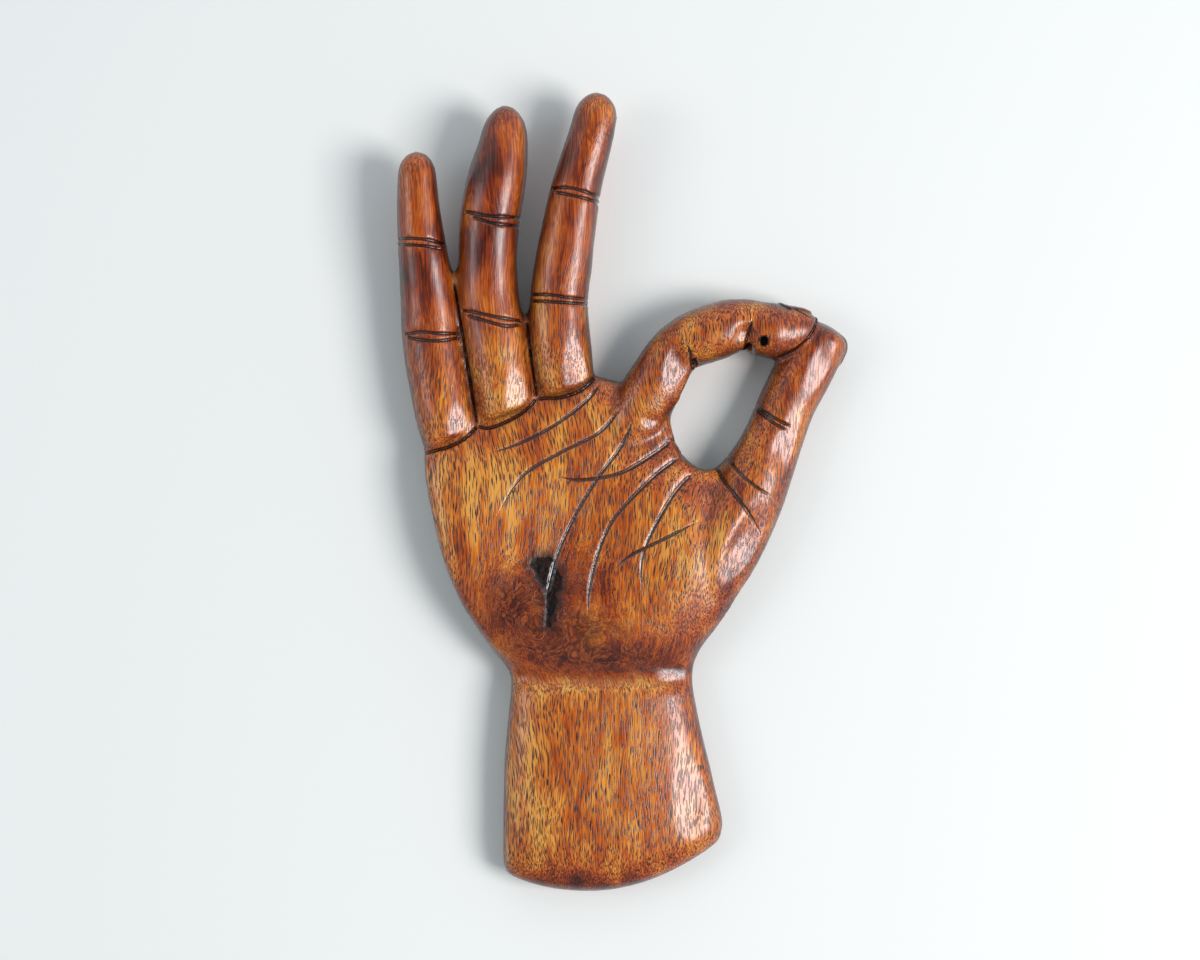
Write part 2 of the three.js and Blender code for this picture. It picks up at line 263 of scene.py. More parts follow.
def settle(piece: Piece) -> None:
    """Turns a piece with its modifiers into a plain mesh.

    Args:
        piece: Object whose modifiers are taken into its mesh.
    """
    depsgraph = bpy.context.evaluated_depsgraph_get()
    shaped = bpy.data.meshes.new_from_object(
        piece.evaluated_get(depsgraph), preserve_all_data_layers=True, depsgraph=depsgraph
    )
    old = piece.data
    piece.modifiers.clear()
    piece.data = shaped
    bpy.data.meshes.remove(old)


def run_tree(piece: Piece, tree: Tree, keys: dict[str, str], values: dict[str, Any]) -> None:
    """Shapes a piece with a geometry tree.

    Args:
        piece: Object that is shaped.
        tree: Geometry Nodes tree.
        keys: Key of each named input.
        values: Value of each named input.
    """
    modifier = piece.modifiers.new(tree.name, "NODES")
    modifier.node_group = tree
    for name, value in values.items():
        modifier[keys[name]] = value
    settle(piece)


def subtract(piece: Piece, body: Body) -> None:
    """Cuts a body out of a piece.

    Args:
        piece: Object that is cut.
        body: Shape that is taken away, which is freed.
    """
    tool = piece_from("cutter", body)
    cut = piece.modifiers.new("cut", "BOOLEAN")
    cut.operation = "DIFFERENCE"
    cut.solver = "EXACT"
    cut.use_self = True
    cut.object = tool
    settle(piece)
    bpy.data.batch_remove((tool, tool.data))


def shade_smooth(mesh: Mesh, crisp_angle: float) -> None:
    """Shades a mesh smoothly, but keeps its sharp edges crisp.

    Args:
        mesh: Mesh to shade.
        crisp_angle: Angle in degrees from which an edge is sharp.
    """
    mesh.polygons.foreach_set("use_smooth", np.ones(len(mesh.polygons), bool))
    mesh.set_sharp_from_angle(angle=math.radians(crisp_angle))


def node_copy(node: str) -> Body:
    """Copies a solid of the frame with its loose triangles joined.

    Args:
        node: Name of the solid.

    Returns:
        A closed mesh.
    """
    body = bmesh.new()
    body.from_mesh(frame["nodes"][node].data)
    bmesh.ops.remove_doubles(body, verts=body.verts, dist=1e-6)
    return body


def read_rows(things: bpy.types.bpy_prop_collection, name: str, width: int, kind: type) -> np.ndarray:
    """Reads a row of numbers from each thing in a collection.

    Args:
        things: Vertices, normals, edges or attribute values of a mesh.
        name: Property to read.
        width: How many numbers a row has.
        kind: Type of the numbers as Blender stores them.

    Returns:
        One row for each thing.
    """
    rows = np.empty(len(things) * width, kind)
    things.foreach_get(name, rows)
    return rows.reshape(-1, width)


def vertex_places(mesh: Mesh) -> np.ndarray:
    """Reads one row of x, y and z in millimetres for each vertex."""
    return read_rows(mesh.vertices, "co", 3, np.float32).astype(float) / MM


def vertex_normals(mesh: Mesh) -> np.ndarray:
    """Reads one unit row for each vertex."""
    return read_rows(mesh.vertex_normals, "vector", 3, np.float32).astype(float)


def mesh_edges(mesh: Mesh) -> np.ndarray:
    """Reads one pair of vertex numbers for each edge."""
    return read_rows(mesh.edges, "vertices", 2, np.int32)


def move_vertices(mesh: Mesh, places: np.ndarray) -> None:
    """Writes vertex places to a mesh.

    Args:
        mesh: Mesh to change.
        places: One row of x, y and z for each vertex, in millimetres.
    """
    mesh.vertices.foreach_set("co", (places * MM).astype(np.float32).ravel())
    mesh.update()


def paint(mesh: Mesh, name: str, values: np.ndarray) -> None:
    """Stores one number for each vertex, for the finish to read.

    Args:
        mesh: Mesh that gets the numbers.
        name: Name of the attribute.
        values: One number for each vertex.
    """
    layer = mesh.attributes.get(name) or mesh.attributes.new(name, "FLOAT", "POINT")
    layer.data.foreach_set("value", values.astype(np.float32))


def neighbour_mean(values: np.ndarray, edges: np.ndarray) -> np.ndarray:
    """Averages each vertex's neighbours.

    Args:
        values: One row for each vertex.
        edges: Pairs of vertex numbers.

    Returns:
        The mean row of each vertex's neighbours.
    """
    size = len(values)
    count = np.bincount(edges.ravel(), minlength=size)
    total = np.empty_like(values)
    for axis in range(values.shape[1]):
        column = values[:, axis]
        total[:, axis] = np.bincount(edges[:, 0], column[edges[:, 1]], size)
        total[:, axis] += np.bincount(edges[:, 1], column[edges[:, 0]], size)
    return total / count[:, None]


def smooth_step(values: np.ndarray) -> np.ndarray:
    """Eases values between zero and one, flat at both ends."""
    held = np.clip(values, 0, 1)
    return held * held * (3 - 2 * held)


@dataclass(frozen=True)
class GougedLine:
    """One line cut by a gouge, as points seen from the palm, in millimetres.

    The cut grows from nothing over the share run_in of its length, and fades over the share run_out.
    """

    points: tuple[Point, ...]
    run_in: float = 0.12
    run_out: float = 0.3

    def path(self, step: float = 0.6) -> list[Triple]:
        """Runs a smooth curve through the points.

        Args:
            step: Distance between the places on the curve, in millimetres.

        Returns:
            x, y and the strength of the cut at each place.
        """
        knots = [Vector(point) for point in self.points]
        first = knots[0] * 2 - knots[1]
        last = knots[-1] * 2 - knots[-2]
        knots = [first, *knots, last]
        places: list[Vector] = []
        for a, b, c, d in zip(knots, knots[1:], knots[2:], knots[3:]):
            steps = max(2, round((c - b).length / step))
            for number in range(steps):
                t = number / steps
                place = b * 2 + (c - a) * t
                place += (a * 2 - b * 5 + c * 4 - d) * t**2
                place += (b * 3 - a - c * 3 + d) * t**3
                places.append(place / 2)
        places.append(knots[-2])
        ends = len(places) - 1
        cut = []
        for number, place in enumerate(places):
            share = number / ends
            strength = min(1.0, share / max(self.run_in, 1e-6), (1 - share) / max(self.run_out, 1e-6))
            cut.append((place.x, place.y, strength))
        return cut


@dataclass(frozen=True)
class Gouging:
    """Lines cut with the same gouge, its size in millimetres, and how dark their cuts are painted: stain
    left in the cuts, and painted shade in them.
    """

    name: str
    lines: tuple[GougedLine, ...]
    half_width: float
    depth: float
    stroke: Stroke = Stroke.SQUARE_TO_SURFACE
    cut_stain_and_shade: float = 1.0


# Gougings darken their cuts with stain left in them and with painted shade
PALM_LINES = Gouging(
    "palm_lines",
    (
        GougedLine(((-8.5, 41.6), (-14.1, 34.5), (-27.1, 24.8), (-42.1, 17.7), (-55.9, 14.0)), 0.05, 0.35),
        GougedLine(((0.5, 34.1), (-8.5, 23.3), (-23.4, 15.5), (-38.3, 5.8), (-49.9, -13.6)), 0.12, 0.4),
        GougedLine(((4.9, 30.4), (-0.3, 18.5), (-12.2, 1.7), (-23.4, -20.0), (-28.7, -39.4)), 0.12, 0.1),
        GougedLine(((-26.4, 7.3), (-16.0, 5.4), (-1.0, 8.0), (12.1, 15.5), (18.5, 20.4)), 0.2, 0.05),
        GougedLine(((21.8, 14.4), (10.2, 5.4), (-4.8, -11.4), (-11.9, -31.9), (-13.0, -48.8)), 0.05, 0.2),
        GougedLine(((26.5, 8.4), (18.3, -0.9), (8.6, -18.8), (6.8, -31.8), (10.1, -45.9)), 0.05, 0.45),
        GougedLine(((30.5, -8.7), (17.5, -15.4), (2.6, -22.8), (-4.8, -29.2)), 0.3, 0.25),
        GougedLine(((34.6, 13.4), (38.1, 4.7), (47.4, -7.7), (51.9, -15.5)), 0.1, 0.3),
        GougedLine(((38.6, 17.4), (41.9, 9.9), (48.6, 3.6), (56.8, -1.7)), 0.1, 0.3),
    ),
    half_width=0.8,
    depth=0.62,
)

FINGER_CREASES = Gouging(
    "finger_creases",
    (
        GougedLine(((-84.4, 95.1), (-73.1, 94.4), (-66.0, 93.3)), 0.02, 0.02),
        GougedLine(((-84.4, 92.9), (-74.9, 92.1), (-66.6, 91.2)), 0.02, 0.1),
        GougedLine(((-81.4, 59.8), (-74.9, 60.4), (-67.6, 59.8), (-60.8, 60.2)), 0.02, 0.02),
        GougedLine(((-80.6, 58.6), (-74.9, 57.4), (-67.6, 57.1), (-60.8, 58.6)), 0.02, 0.02),
        GougedLine(((-59.0, 105.0), (-52.7, 103.3), (-45.3, 102.6), (-37.0, 103.0)), 0.02, 0.02),
        GougedLine(((-56.5, 102.9), (-47.2, 100.0), (-37.2, 99.8)), 0.1, 0.02),
        GougedLine(((-60.2, 68.6), (-52.7, 67.0), (-45.4, 65.5), (-37.2, 64.7)), 0.02, 0.02),
        GougedLine(((-58.5, 66.6), (-52.7, 64.8), (-43.5, 62.5), (-37.6, 63.4)), 0.05, 0.05),
        GougedLine(((-26.8, 113.7), (-21.4, 113.6), (-15.9, 112.5), (-7.4, 110.0)), 0.02, 0.02),
        GougedLine(((-26.0, 112.2), (-17.7, 110.3), (-7.6, 108.1)), 0.05, 0.02),
        GougedLine(((-34.2, 74.6), (-26.9, 74.0), (-19.6, 72.9), (-12.6, 72.8)), 0.02, 0.02),
        GougedLine(((-34.2, 72.2), (-26.9, 71.4), (-19.6, 71.0), (-12.6, 71.0)), 0.02, 0.02),
        GougedLine(((48.6, 34.6), (53.1, 30.8), (58.7, 27.4), (63.4, 25.2)), 0.02, 0.2),
        GougedLine(((49.8, 32.0), (56.9, 26.3), (62.0, 23.8)), 0.1, 0.25),
    ),
    half_width=0.75,
    depth=0.85,
)

# The dark of these cuts is painted shade under the finger roots
FINGER_ROOTS = Gouging(
    "finger_roots",
    (
        GougedLine(((-76.0, 14.6), (-70.1, 16.4), (-64.5, 17.9), (-58.5, 21.2), (-54.4, 25.4)), 0.02, 0.02),
        GougedLine(((-54.4, 25.4), (-49.6, 24.8), (-42.1, 27.8), (-36.4, 31.4), (-32.4, 35.6)), 0.02, 0.02),
        GougedLine(((-32.4, 35.6), (-27.9, 36.0), (-23.4, 36.2), (-16.0, 38.8), (-10.4, 43.6)), 0.02, 0.02),
    ),
    half_width=0.75,
    depth=1.2,
    stroke=Stroke.STRAIGHT_DOWN,
)

# The dark of these cuts is painted shade between the fingers
FINGER_VALLEYS = Gouging(
    "finger_valleys",
    (
        GougedLine(((-63.3, 80.0), (-60.4, 64.0), (-57.4, 45.0), (-54.5, 26.0)), 0.05, 0.02),
        GougedLine(((-35.9, 65.0), (-34.9, 56.0), (-33.6, 46.0), (-32.3, 36.5)), 0.05, 0.02),
    ),
    half_width=0.7,
    depth=1.2,
    stroke=Stroke.STRAIGHT_DOWN,
    cut_stain_and_shade=0.6,
)

INDEX_FOLDS = Gouging(
    "index_folds",
    (
        GougedLine(((27.0, 45.0), (25.4, 50.5), (23.6, 57.2)), 0.02, 0.3),
        GougedLine(((45.0, 52.6), (46.4, 59.2), (48.5, 66.4)), 0.02, 0.3),
        GougedLine(((74.2, 67.6), (72.2, 64.0), (69.9, 59.6), (64.5, 54.5), (57.6, 51.0)), 0.02, 0.05),
    ),
    half_width=0.65,
    depth=1.0,
    stroke=Stroke.STRAIGHT_DOWN,
)

INDEX_NAIL = Gouging(
    "index_nail",
    (
        GougedLine(((57.6, 71.6), (60.4, 71.2), (64.0, 69.4), (68.0, 67.0), (71.0, 65.2)), 0.05, 0.2),
        GougedLine(((58.0, 71.1), (60.6, 70.0), (64.3, 68.2)), 0.05, 0.3),
    ),
    half_width=0.45,
    depth=0.5,
    stroke=Stroke.STRAIGHT_DOWN,
)

RING_FAN = Gouging(
    "ring_fan",
    (
        GougedLine(((19.6, 21.2), (12.1, 15.5), (-1.0, 8.0)), 0.02, 0.6),
        GougedLine(((22.8, 15.4), (10.2, 5.4), (0.0, -5.4)), 0.02, 0.6),
        GougedLine(((27.4, 9.4), (18.3, -0.9), (11.6, -12.0)), 0.02, 0.6),
        GougedLine(((34.4, 14.4), (38.1, 4.7), (45.4, -5.2)), 0.02, 0.6),
    ),
    half_width=2.6,
    depth=0.7,
    cut_stain_and_shade=0.1,
)

ALL_GOUGING = (
    FINGER_ROOTS,
    FINGER_VALLEYS,
    INDEX_FOLDS,
    INDEX_NAIL,
    RING_FAN,
    FINGER_CREASES,
    PALM_LINES,
)


@dataclass(frozen=True)
class Spot:
    """Oval patch of the surface, seen from the palm, in millimetres, with what it adds at its middle."""

    x: float
    y: float
    reach_x: float
    reach_y: float
    amount: float

    def over(self, places: np.ndarray) -> np.ndarray:
        """Gives what the spot adds at each place.

        Args:
            places: Rows of x, y and z in millimetres.

        Returns:
            One number for each row, fading softly with distance.
        """
        far = ((places[:, 0] - self.x) / self.reach_x) ** 2
        far += ((places[:, 1] - self.y) / self.reach_y) ** 2
        return self.amount * np.exp(-far)


# Golden and dark regions of the board: above zero golden, below zero brown, with a few spots of painted
# shade and one of painted highlight
TONES_AND_PAINTED_LIGHT = (
    Spot(-50.0, 0.0, 22.0, 18.0, 0.8),
    Spot(-14.0, 24.0, 20.0, 12.0, 0.3),
    Spot(28.0, -24.0, 13.0, 22.0, 0.5),
    # Painted shadow along the upper edge of the thumb's ball, below the ring
    Spot(24.0, 2.0, 14.0, 4.5, -0.6),
    Spot(38.0, -1.0, 10.0, 6.0, -0.4),
    Spot(-52.0, 21.0, 16.0, 5.0, -0.5),
    Spot(-14.0, -10.0, 13.0, 14.0, -0.2),
    Spot(-24.0, -35.0, 13.0, 15.0, -0.7),
    Spot(-40.0, -46.0, 13.0, 12.0, -0.5),
    Spot(-45.0, 112.0, 60.0, 40.0, -0.3),
    Spot(-77.0, 82.0, 11.0, 15.0, -1.0),
    Spot(-80.0, 116.0, 10.0, 16.0, -0.1),
    Spot(-70.0, 52.0, 9.0, 9.0, -0.3),
    Spot(-51.0, 126.0, 10.0, 20.0, -0.9),
    Spot(-40.0, 120.0, 5.0, 16.0, 0.5),
    Spot(-52.0, 94.0, 12.0, 10.0, -0.6),
    Spot(-52.0, 74.0, 12.0, 9.0, -0.2),
    Spot(-44.0, 42.0, 14.0, 16.0, 0.4),
    Spot(-14.0, 127.0, 12.0, 16.0, -0.6),
    Spot(-18.0, 52.0, 12.0, 14.0, 0.2),
    Spot(12.0, 42.0, 12.0, 12.0, -0.3),
    Spot(66.0, 48.0, 14.0, 16.0, -0.25),
    Spot(60.0, 66.0, 16.0, 10.0, -0.3),
    Spot(39.0, -40.0, 8.0, 10.0, -0.7),
    Spot(26.0, -53.0, 12.0, 8.0, -0.6),
    Spot(-8.0, -60.0, 46.0, 7.0, -0.7),
    # Painted shade in the corner where the heel meets the wrist
    Spot(-5.0, -66.3, 50.0, 1.8, -0.6),
    # Lighter wrist edge: golden wood and a painted highlight where the edge catches the light
    Spot(0.0, -71.0, 44.0, 3.5, 0.3),
    Spot(-14.0, -110.0, 4.0, 34.0, -0.5),
    Spot(6.0, -104.0, 20.0, 30.0, 0.5),
    Spot(-36.0, -110.0, 12.0, 34.0, 0.8),
    Spot(-5.0, -146.0, 50.0, 7.0, -0.7),
)

# Dark figured wood round the knot
BURLS = (
    Spot(-20.0, -52.0, 26.0, 10.0, 0.7),
    Spot(-6.0, -62.0, 40.0, 6.0, 0.6),
    Spot(-40.0, -38.0, 10.0, 10.0, 0.8),
    Spot(-16.0, -32.0, 12.0, 14.0, 0.45),
)

# Wood of close grain, where few pores show
CLOSE_GRAINS = (
    Spot(-72.0, 88.0, 20.0, 34.0, 1.0),
    Spot(-46.0, 108.0, 18.0, 38.0, 1.0),
    Spot(-14.0, 110.0, 20.0, 34.0, 0.8),
    Spot(76.0, 40.0, 12.0, 34.0, 0.6),
    Spot(-10.0, -64.0, 60.0, 8.0, 0.7),
)

# Decayed heart of the knot, as an outline seen from the palm
KNOT_OUTLINE: tuple[Point, ...] = (
    (-34.9, -26.0),
    (-32.5, -23.4),
    (-26.8, -22.4),
    (-25.1, -25.7),
    (-22.2, -31.0),
    (-22.2, -35.3),
    (-25.1, -37.4),
    (-23.6, -40.0),
    (-26.1, -44.9),
    (-26.5, -50.0),
    (-28.8, -48.6),
    (-28.5, -39.2),
    (-29.6, -34.6),
    (-32.1, -30.6),
)


def depth_inside(outline: tuple[Point, ...], places: np.ndarray) -> np.ndarray:
    """Gives how far each place lies inside an outline.

    Args:
        outline: Corners seen from the palm, in millimetres.
        places: Rows of x, y and z in millimetres.

    Returns:
        One distance for each row, below zero outside the outline.
    """
    flat = places[:, :2]
    nearest = np.full(len(flat), np.inf)
    inside = np.zeros(len(flat), bool)
    for start, end in zip(outline, outline[1:] + outline[:1]):
        a, side = np.array(start), np.array(end) - start
        along = np.clip((flat - a) @ side / (side @ side), 0, 1)
        nearest = np.minimum(nearest, np.linalg.norm(flat - a - np.outer(along, side), axis=1))
        spans = (flat[:, 1] < start[1]) != (flat[:, 1] < end[1])
        crossing = a[0] + (flat[:, 1] - a[1]) * side[0] / (side[1] or 1e-9)
        inside ^= spans & (flat[:, 0] < crossing)
    return np.where(inside, nearest, -nearest)


@dataclass(frozen=True)
class Nail:
    """Finger nail, as its middle, the way it points, the way it faces and its half sizes in millimetres.

    Over the share edge of its size it rises to its full height. It ends where the surface turns to the
    side, and within the share reach of its half length.
    """

    middle: Triple
    along: Triple
    facing: Triple
    half_length: float
    half_width: float
    rise: float = 0.5
    edge: float = 0.35
    side_facing: float = 0.1
    side_span: float = 0.3
    reach: float = 2.2

    def lift(self, places: np.ndarray, normals: np.ndarray) -> np.ndarray:
        """Gives how far the nail stands out at each place.

        Args:
            places: Rows of x, y and z in millimetres.
            normals: Unit normals of the surface there.

        Returns:
            One height in millimetres for each row.
        """
        facing = np.array(self.facing) / np.linalg.norm(self.facing)
        along = np.array(self.along) - facing * np.dot(self.along, facing)
        along /= np.linalg.norm(along)
        across = np.cross(facing, along)
        offset = places - np.array(self.middle)
        far = (np.abs(offset @ along) / self.half_length) ** 3
        far += (np.abs(offset @ across) / self.half_width) ** 3
        inside = smooth_step((1.0 - far) / self.edge)
        outward = smooth_step((normals @ facing - self.side_facing) / self.side_span)
        close = np.linalg.norm(offset, axis=1) < self.reach * self.half_length
        return self.rise * inside * outward * close


# Three fingers' nails lie on the back, the index finger's and the thumb's beside the ring
NAILS = (
    Nail((-76.8, 119.0, 11.4), (0.0, 1.0, 0.05), (0.0, 0.05, -1.0), 6.2, 4.8),
    Nail((-44.4, 135.5, 9.8), (0.08, 1.0, 0.02), (0.0, 0.05, -1.0), 7.2, 5.6),
    Nail((-10.4, 140.5, 10.2), (0.17, 1.0, 0.03), (0.0, 0.05, -1.0), 7.0, 5.6),
    Nail((64.6, 70.0, 12.0), (0.9, -0.28, -0.1), (0.35, 0.9, -0.15), 7.0, 5.0, 0.7),
    Nail((83.0, 56.0, 5.0), (0.45, 0.9, 0.0), (0.8, -0.4, -0.5), 7.6, 5.4),
)


@dataclass(frozen=True)
class ChiselFlat:
    """Flat left by a chisel: its middle, the way it faces, how deep it cuts, and its reach in x and y.

    The share fill says how far what lies below the flat is left standing up to it, ease how softly its
    edge ends, turn by how many degrees its length swings from y towards x, and fade over which share of
    its reach it runs out.
    """

    x: float
    y: float
    facing: Triple
    depth: float
    reach_x: float
    reach_y: float
    fill: float = 0.0
    ease: float = 0.25
    turn: float = 0.0
    fade: float = 0.7
    upper_facing: float = 0.2

    def press(self, places: np.ndarray, normals: np.ndarray) -> np.ndarray:
        """Brings the surface to the flat.

        Args:
            places: Rows of x, y and z in millimetres.
            normals: Unit normals of the surface there.

        Returns:
            The new places.
        """
        facing = np.array(self.facing) / np.linalg.norm(self.facing)
        offset = places[:, :2] - (self.x, self.y)
        turn = math.radians(self.turn)
        across = offset @ (math.cos(turn), -math.sin(turn))
        along = offset @ (math.sin(turn), math.cos(turn))
        away = np.hypot(across / self.reach_x, along / self.reach_y)
        upper = normals[:, 2] > self.upper_facing
        middle = places[np.argmin(np.where(upper, away, np.inf))]
        above = (places - middle) @ facing + self.depth
        cut = (above + np.hypot(above, self.ease)) / 2
        above = cut + self.fill * (above - cut)
        share = smooth_step((1 - away) / self.fade) * upper
        return places - np.outer(above * share, facing)


# Flats on the finger roots, the ring, the thumb and its ball, and the wrist
CHISEL_FLATS = (
    ChiselFlat(-60.4, 31.0, (0.41, -0.10, 0.91), 0.4, 9.0, 22.0),
    ChiselFlat(-38.4, 43.0, (0.40, -0.11, 0.91), 0.4, 9.0, 22.0),
    ChiselFlat(-16.0, 53.0, (0.38, -0.12, 0.92), 0.4, 9.0, 22.0),
    ChiselFlat(20.0, 44.0, (0.36, -0.08, 0.93), 1.0, 8.0, 16.0, 0.6),
    ChiselFlat(45.0, 58.0, (0.34, -0.12, 0.93), 0.4, 5.5, 7.0, 0.4),
    ChiselFlat(10.1, 26.2, (0.35, -0.05, 0.93), 0.4, 6.0, 5.0, 0.5),
    ChiselFlat(42.5, -26.5, (0.333, -0.115, 0.936), 1.3, 10.0, 32.0, 0.3, 0.6, 23.0),
    ChiselFlat(62.0, 22.0, (0.33, -0.10, 0.94), 0.7, 11.0, 20.0),
    ChiselFlat(71.4, 45.0, (0.33, -0.11, 0.94), 0.7, 11.0, 18.0),
    ChiselFlat(25.0, -105.0, (0.36, 0.02, 0.93), 0.5, 10.0, 34.0),
    ChiselFlat(18.3, -68.0, (0.35, 0.0, 0.94), 0.4, 10.0, 6.0, 0.5),
)


@dataclass(frozen=True)
class VarnishedSuarWood:
    """Carved and sanded suar wood under a satin varnish, with its pattern in millimetres.

    Gold and red-brown streaks run the length of the block, and open pores show as dark dashes where the
    carving cuts through them, short on slopes and longer on the flats. The cuts, the hollows and the steep
    rims are darkened, partly by stain and partly by painted shade, the wood round the decayed knot is dark
    and figured, and the varnish shines softly.
    """

    name: str = "satin_varnished_suar_wood"
    shades: Shades = (
        (0.0, "#3C1004"),
        (0.25, "#7A2606"),
        (0.5, "#B84E0E"),
        (0.75, "#D87420"),
        (1.0, "#EEA246"),
    )
    flames: Shades = (
        (0.2, "#200804"),
        (0.42, "#5A1E08"),
        (0.62, "#80300E"),
        (0.85, "#A05020"),
    )
    pore: str = "#240802"
    # Dark colours of the cuts, the hollows and the steep rims: stain and painted shade
    cut_stain_and_shade: str = "#1C0B06"
    hollow_stain_and_shade_colour: str = "#6A260E"
    dark_stain_and_rim_shade: str = "#2C0C04"
    decay: str = "#070606"
    rotten: str = "#43190A"
    # Each wave's length along and across the grain, and how far it carries the fibres sideways and up
    waves: tuple[tuple[float, float, float, float], ...] = ((60.0, 60.0, 18.0, 12.0), (6.0, 14.0, 0.3, 0.7))
    swirl_size: float = 11.0
    swirl_carry: float = 14.0
    heart: Triple = (12.0, 0.0, 58.0)
    band_spacing: float = 8.0
    broad_cell: Triple = (8.0, 120.0, 8.0)
    figure_cell: Triple = (7.0, 13.0, 7.0)
    fibre_cell: Triple = (0.6, 16.0, 0.6)
    # Pores are drawn somewhat wider than real ones, so that they show
    pore_cell: Triple = (0.44, 5.6, 0.44)
    rag_size: float = 3.0
    knot_rag: float = 0.4
    burl_rag: float = 1.3
    flame_width: float = 0.07
    flame_start: float = -0.56
    # How far the flames, the streaks and the swirls lighten the figured wood
    flame_weights: Triple = (9.0, 0.25, 1.2)
    mean_shade: float = 0.6
    tone_weight: float = 0.42
    band_weight: float = 0.16
    broad_weight: float = 1.0
    figure_weight: float = 0.75
    streak_weight: float = 0.34
    pore_edge: Point = (0.33, 0.5)
    pore_loss: float = 0.8
    pore_darkness: float = 0.95
    pore_depth: float = 0.15
    bump: float = 0.28
    fibre_relief: float = 0.4
    roughness: float = 0.29
    # How far pores, stained cuts and the knot change the roughness
    roughness_changes: Triple = (0.15, -0.16, -0.08)
    ior: float = 1.5
    coat: float = 0.5
    coat_roughness: float = 0.26

    @staticmethod
    def ramp(tree: Tree, shades: Shades, value: Socket) -> Socket:
        """Turns a value into a colour.

        Args:
            tree: Tree that the ramp joins.
            shades: Places on the ramp and their colours.
            value: Socket that gives the value.

        Returns:
            Socket that gives the colour.
        """
        colour = add_node(tree, "ShaderNodeValToRGB", inputs={"Fac": value})
        stops = colour.node.color_ramp.elements
        for _ in shades[2:]:
            stops.new(0.5)
        for stop, (position, shade) in zip(stops, shades):
            stop.position = position
            stop.color = linear(shade)
        return colour

    def grain(self, tree: Tree, block: Socket, swirl: Socket, burl: Socket) -> Socket:
        """Lets the grain dive in and out of the board in waves, and swirl round the knot.

        Args:
            tree: Tree of the wood.
            block: Socket that gives the place in the block.
            swirl: Socket that gives the way of the swirls.
            burl: Socket that gives the share of figured wood.

        Returns:
            Socket that gives the place along and across the fibres.
        """
        add = partial(add_node, tree)
        grain = block
        for along, across, sideways, upwards in self.waves:
            wave = stretched_noise(tree, block, (across, along, across), 1.0, "Color")
            wave = add("ShaderNodeVectorMath", {"operation": "SUBTRACT"}, {0: wave, 1: (0.5, 0.5, 0.5)})
            carried = {0: wave, 1: (sideways, 0.0, upwards), 2: grain}
            grain = add("ShaderNodeVectorMath", TIMES_PLUS, carried)
        turned = add("ShaderNodeVectorMath", {"operation": "SCALE"}, {0: swirl, "Scale": burl})
        carried = {0: turned, 1: (self.swirl_carry, 0.0, self.swirl_carry), 2: grain}
        return add("ShaderNodeVectorMath", TIMES_PLUS, carried)

    def board(self, tree: Tree, grain: Socket, streaks: Socket, tone: Socket) -> Socket:
        """Colours the sound wood, with growth bands round a heart below the back.

        Args:
            tree: Tree of the wood.
            grain: Socket that gives the place along and across the fibres.
            streaks: Socket that gives the fine streaks.
            tone: Socket that tells golden from brown regions, and carries a few painted shades and a
                painted highlight.

        Returns:
            Socket that gives the colour.
        """
        heart = add_node(tree, "ShaderNodeMapping", inputs={"Vector": grain, "Location": self.heart})
        bands = add_node(
            tree,
            "ShaderNodeTexWave",
            {"wave_type": "RINGS", "rings_direction": "Y", "wave_profile": "SIN"},
            {
                "Vector": heart,
                "Scale": math.pi / 10 / self.band_spacing,
                "Distortion": 2.0,
                "Detail": 2.0,
            },
            out="Fac",
        )
        layers = (
            (bands, self.band_weight),
            (stretched_noise(tree, grain, self.broad_cell, 3.0), self.broad_weight),
            (stretched_noise(tree, grain, self.figure_cell, 2.0), self.figure_weight),
            (streaks, self.streak_weight),
        )
        start = self.mean_shade - sum(weight for _, weight in layers) / 2
        shade = weighted_sum(tree, start, ((tone, self.tone_weight), *layers))
        return self.ramp(tree, self.shades, shade)

    def pores(self, tree: Tree, grain: Socket, burl: Socket, close_grain: Socket) -> Socket:
        """Draws the open pores, as tubes along the grain, few in figured wood and in close grain.

        Args:
            tree: Tree of the wood.
            grain: Socket that gives the place along and across the fibres.
            burl: Socket that gives the share of figured wood.
            close_grain: Socket that gives the share of close grain.

        Returns:
            Socket that gives one in a pore and zero between them.
        """
        add = partial(add_node, tree)
        scale = tuple(1 / size for size in self.pore_cell)
        tubes = add("ShaderNodeMapping", inputs={"Vector": grain, "Scale": scale})
        away = add("ShaderNodeTexVoronoi", inputs={"Vector": tubes, "Scale": 1.0})
        inner, outer = self.pore_edge
        edge = {"Value": away, "From Min": inner, "From Max": outer, "To Min": 1.0, "To Max": 0.0}
        pores = add("ShaderNodeMapRange", SMOOTH, edge)
        closed = add("ShaderNodeMath", {"operation": "MAXIMUM"}, {0: burl, 1: close_grain})
        left = weighted_sum(tree, 1.0, ((closed, -self.pore_loss),))
        return add("ShaderNodeMath", TIMES, {0: pores, 1: left})

    def make(self) -> Material:
        """Builds the wood as a solid pattern through the whole block.

        Returns:
            The material.
        """
        material = bpy.data.materials.new(self.name)
        tree = clear_tree(material)
        add = partial(add_node, tree)
        place = add("ShaderNodeTexCoord", out="Object")
        scale = (1 / MM, 1 / MM, 1 / MM)
        block = add("ShaderNodeMapping", inputs={"Vector": place, "Scale": scale})
        marks = {
            name: add("ShaderNodeAttribute", {"attribute_name": name}, out="Fac")
            for name in ("burl", "close_grain", "tone", "hollow", "rim", "groove", "knot")
        }
        cloud = {"Vector": block, "Detail": 4.0, "Roughness": 0.6}
        swirled = {**cloud, "Scale": 1 / self.swirl_size, "Distortion": 1.6}
        swirl = add("ShaderNodeTexNoise", inputs=swirled).node.outputs
        rag = add("ShaderNodeTexNoise", inputs={**cloud, "Scale": 1 / self.rag_size}, out="Fac")
        grain = self.grain(tree, block, swirl["Color"], marks["burl"])
        fibre = stretched_noise(tree, grain, self.fibre_cell, 3.0)

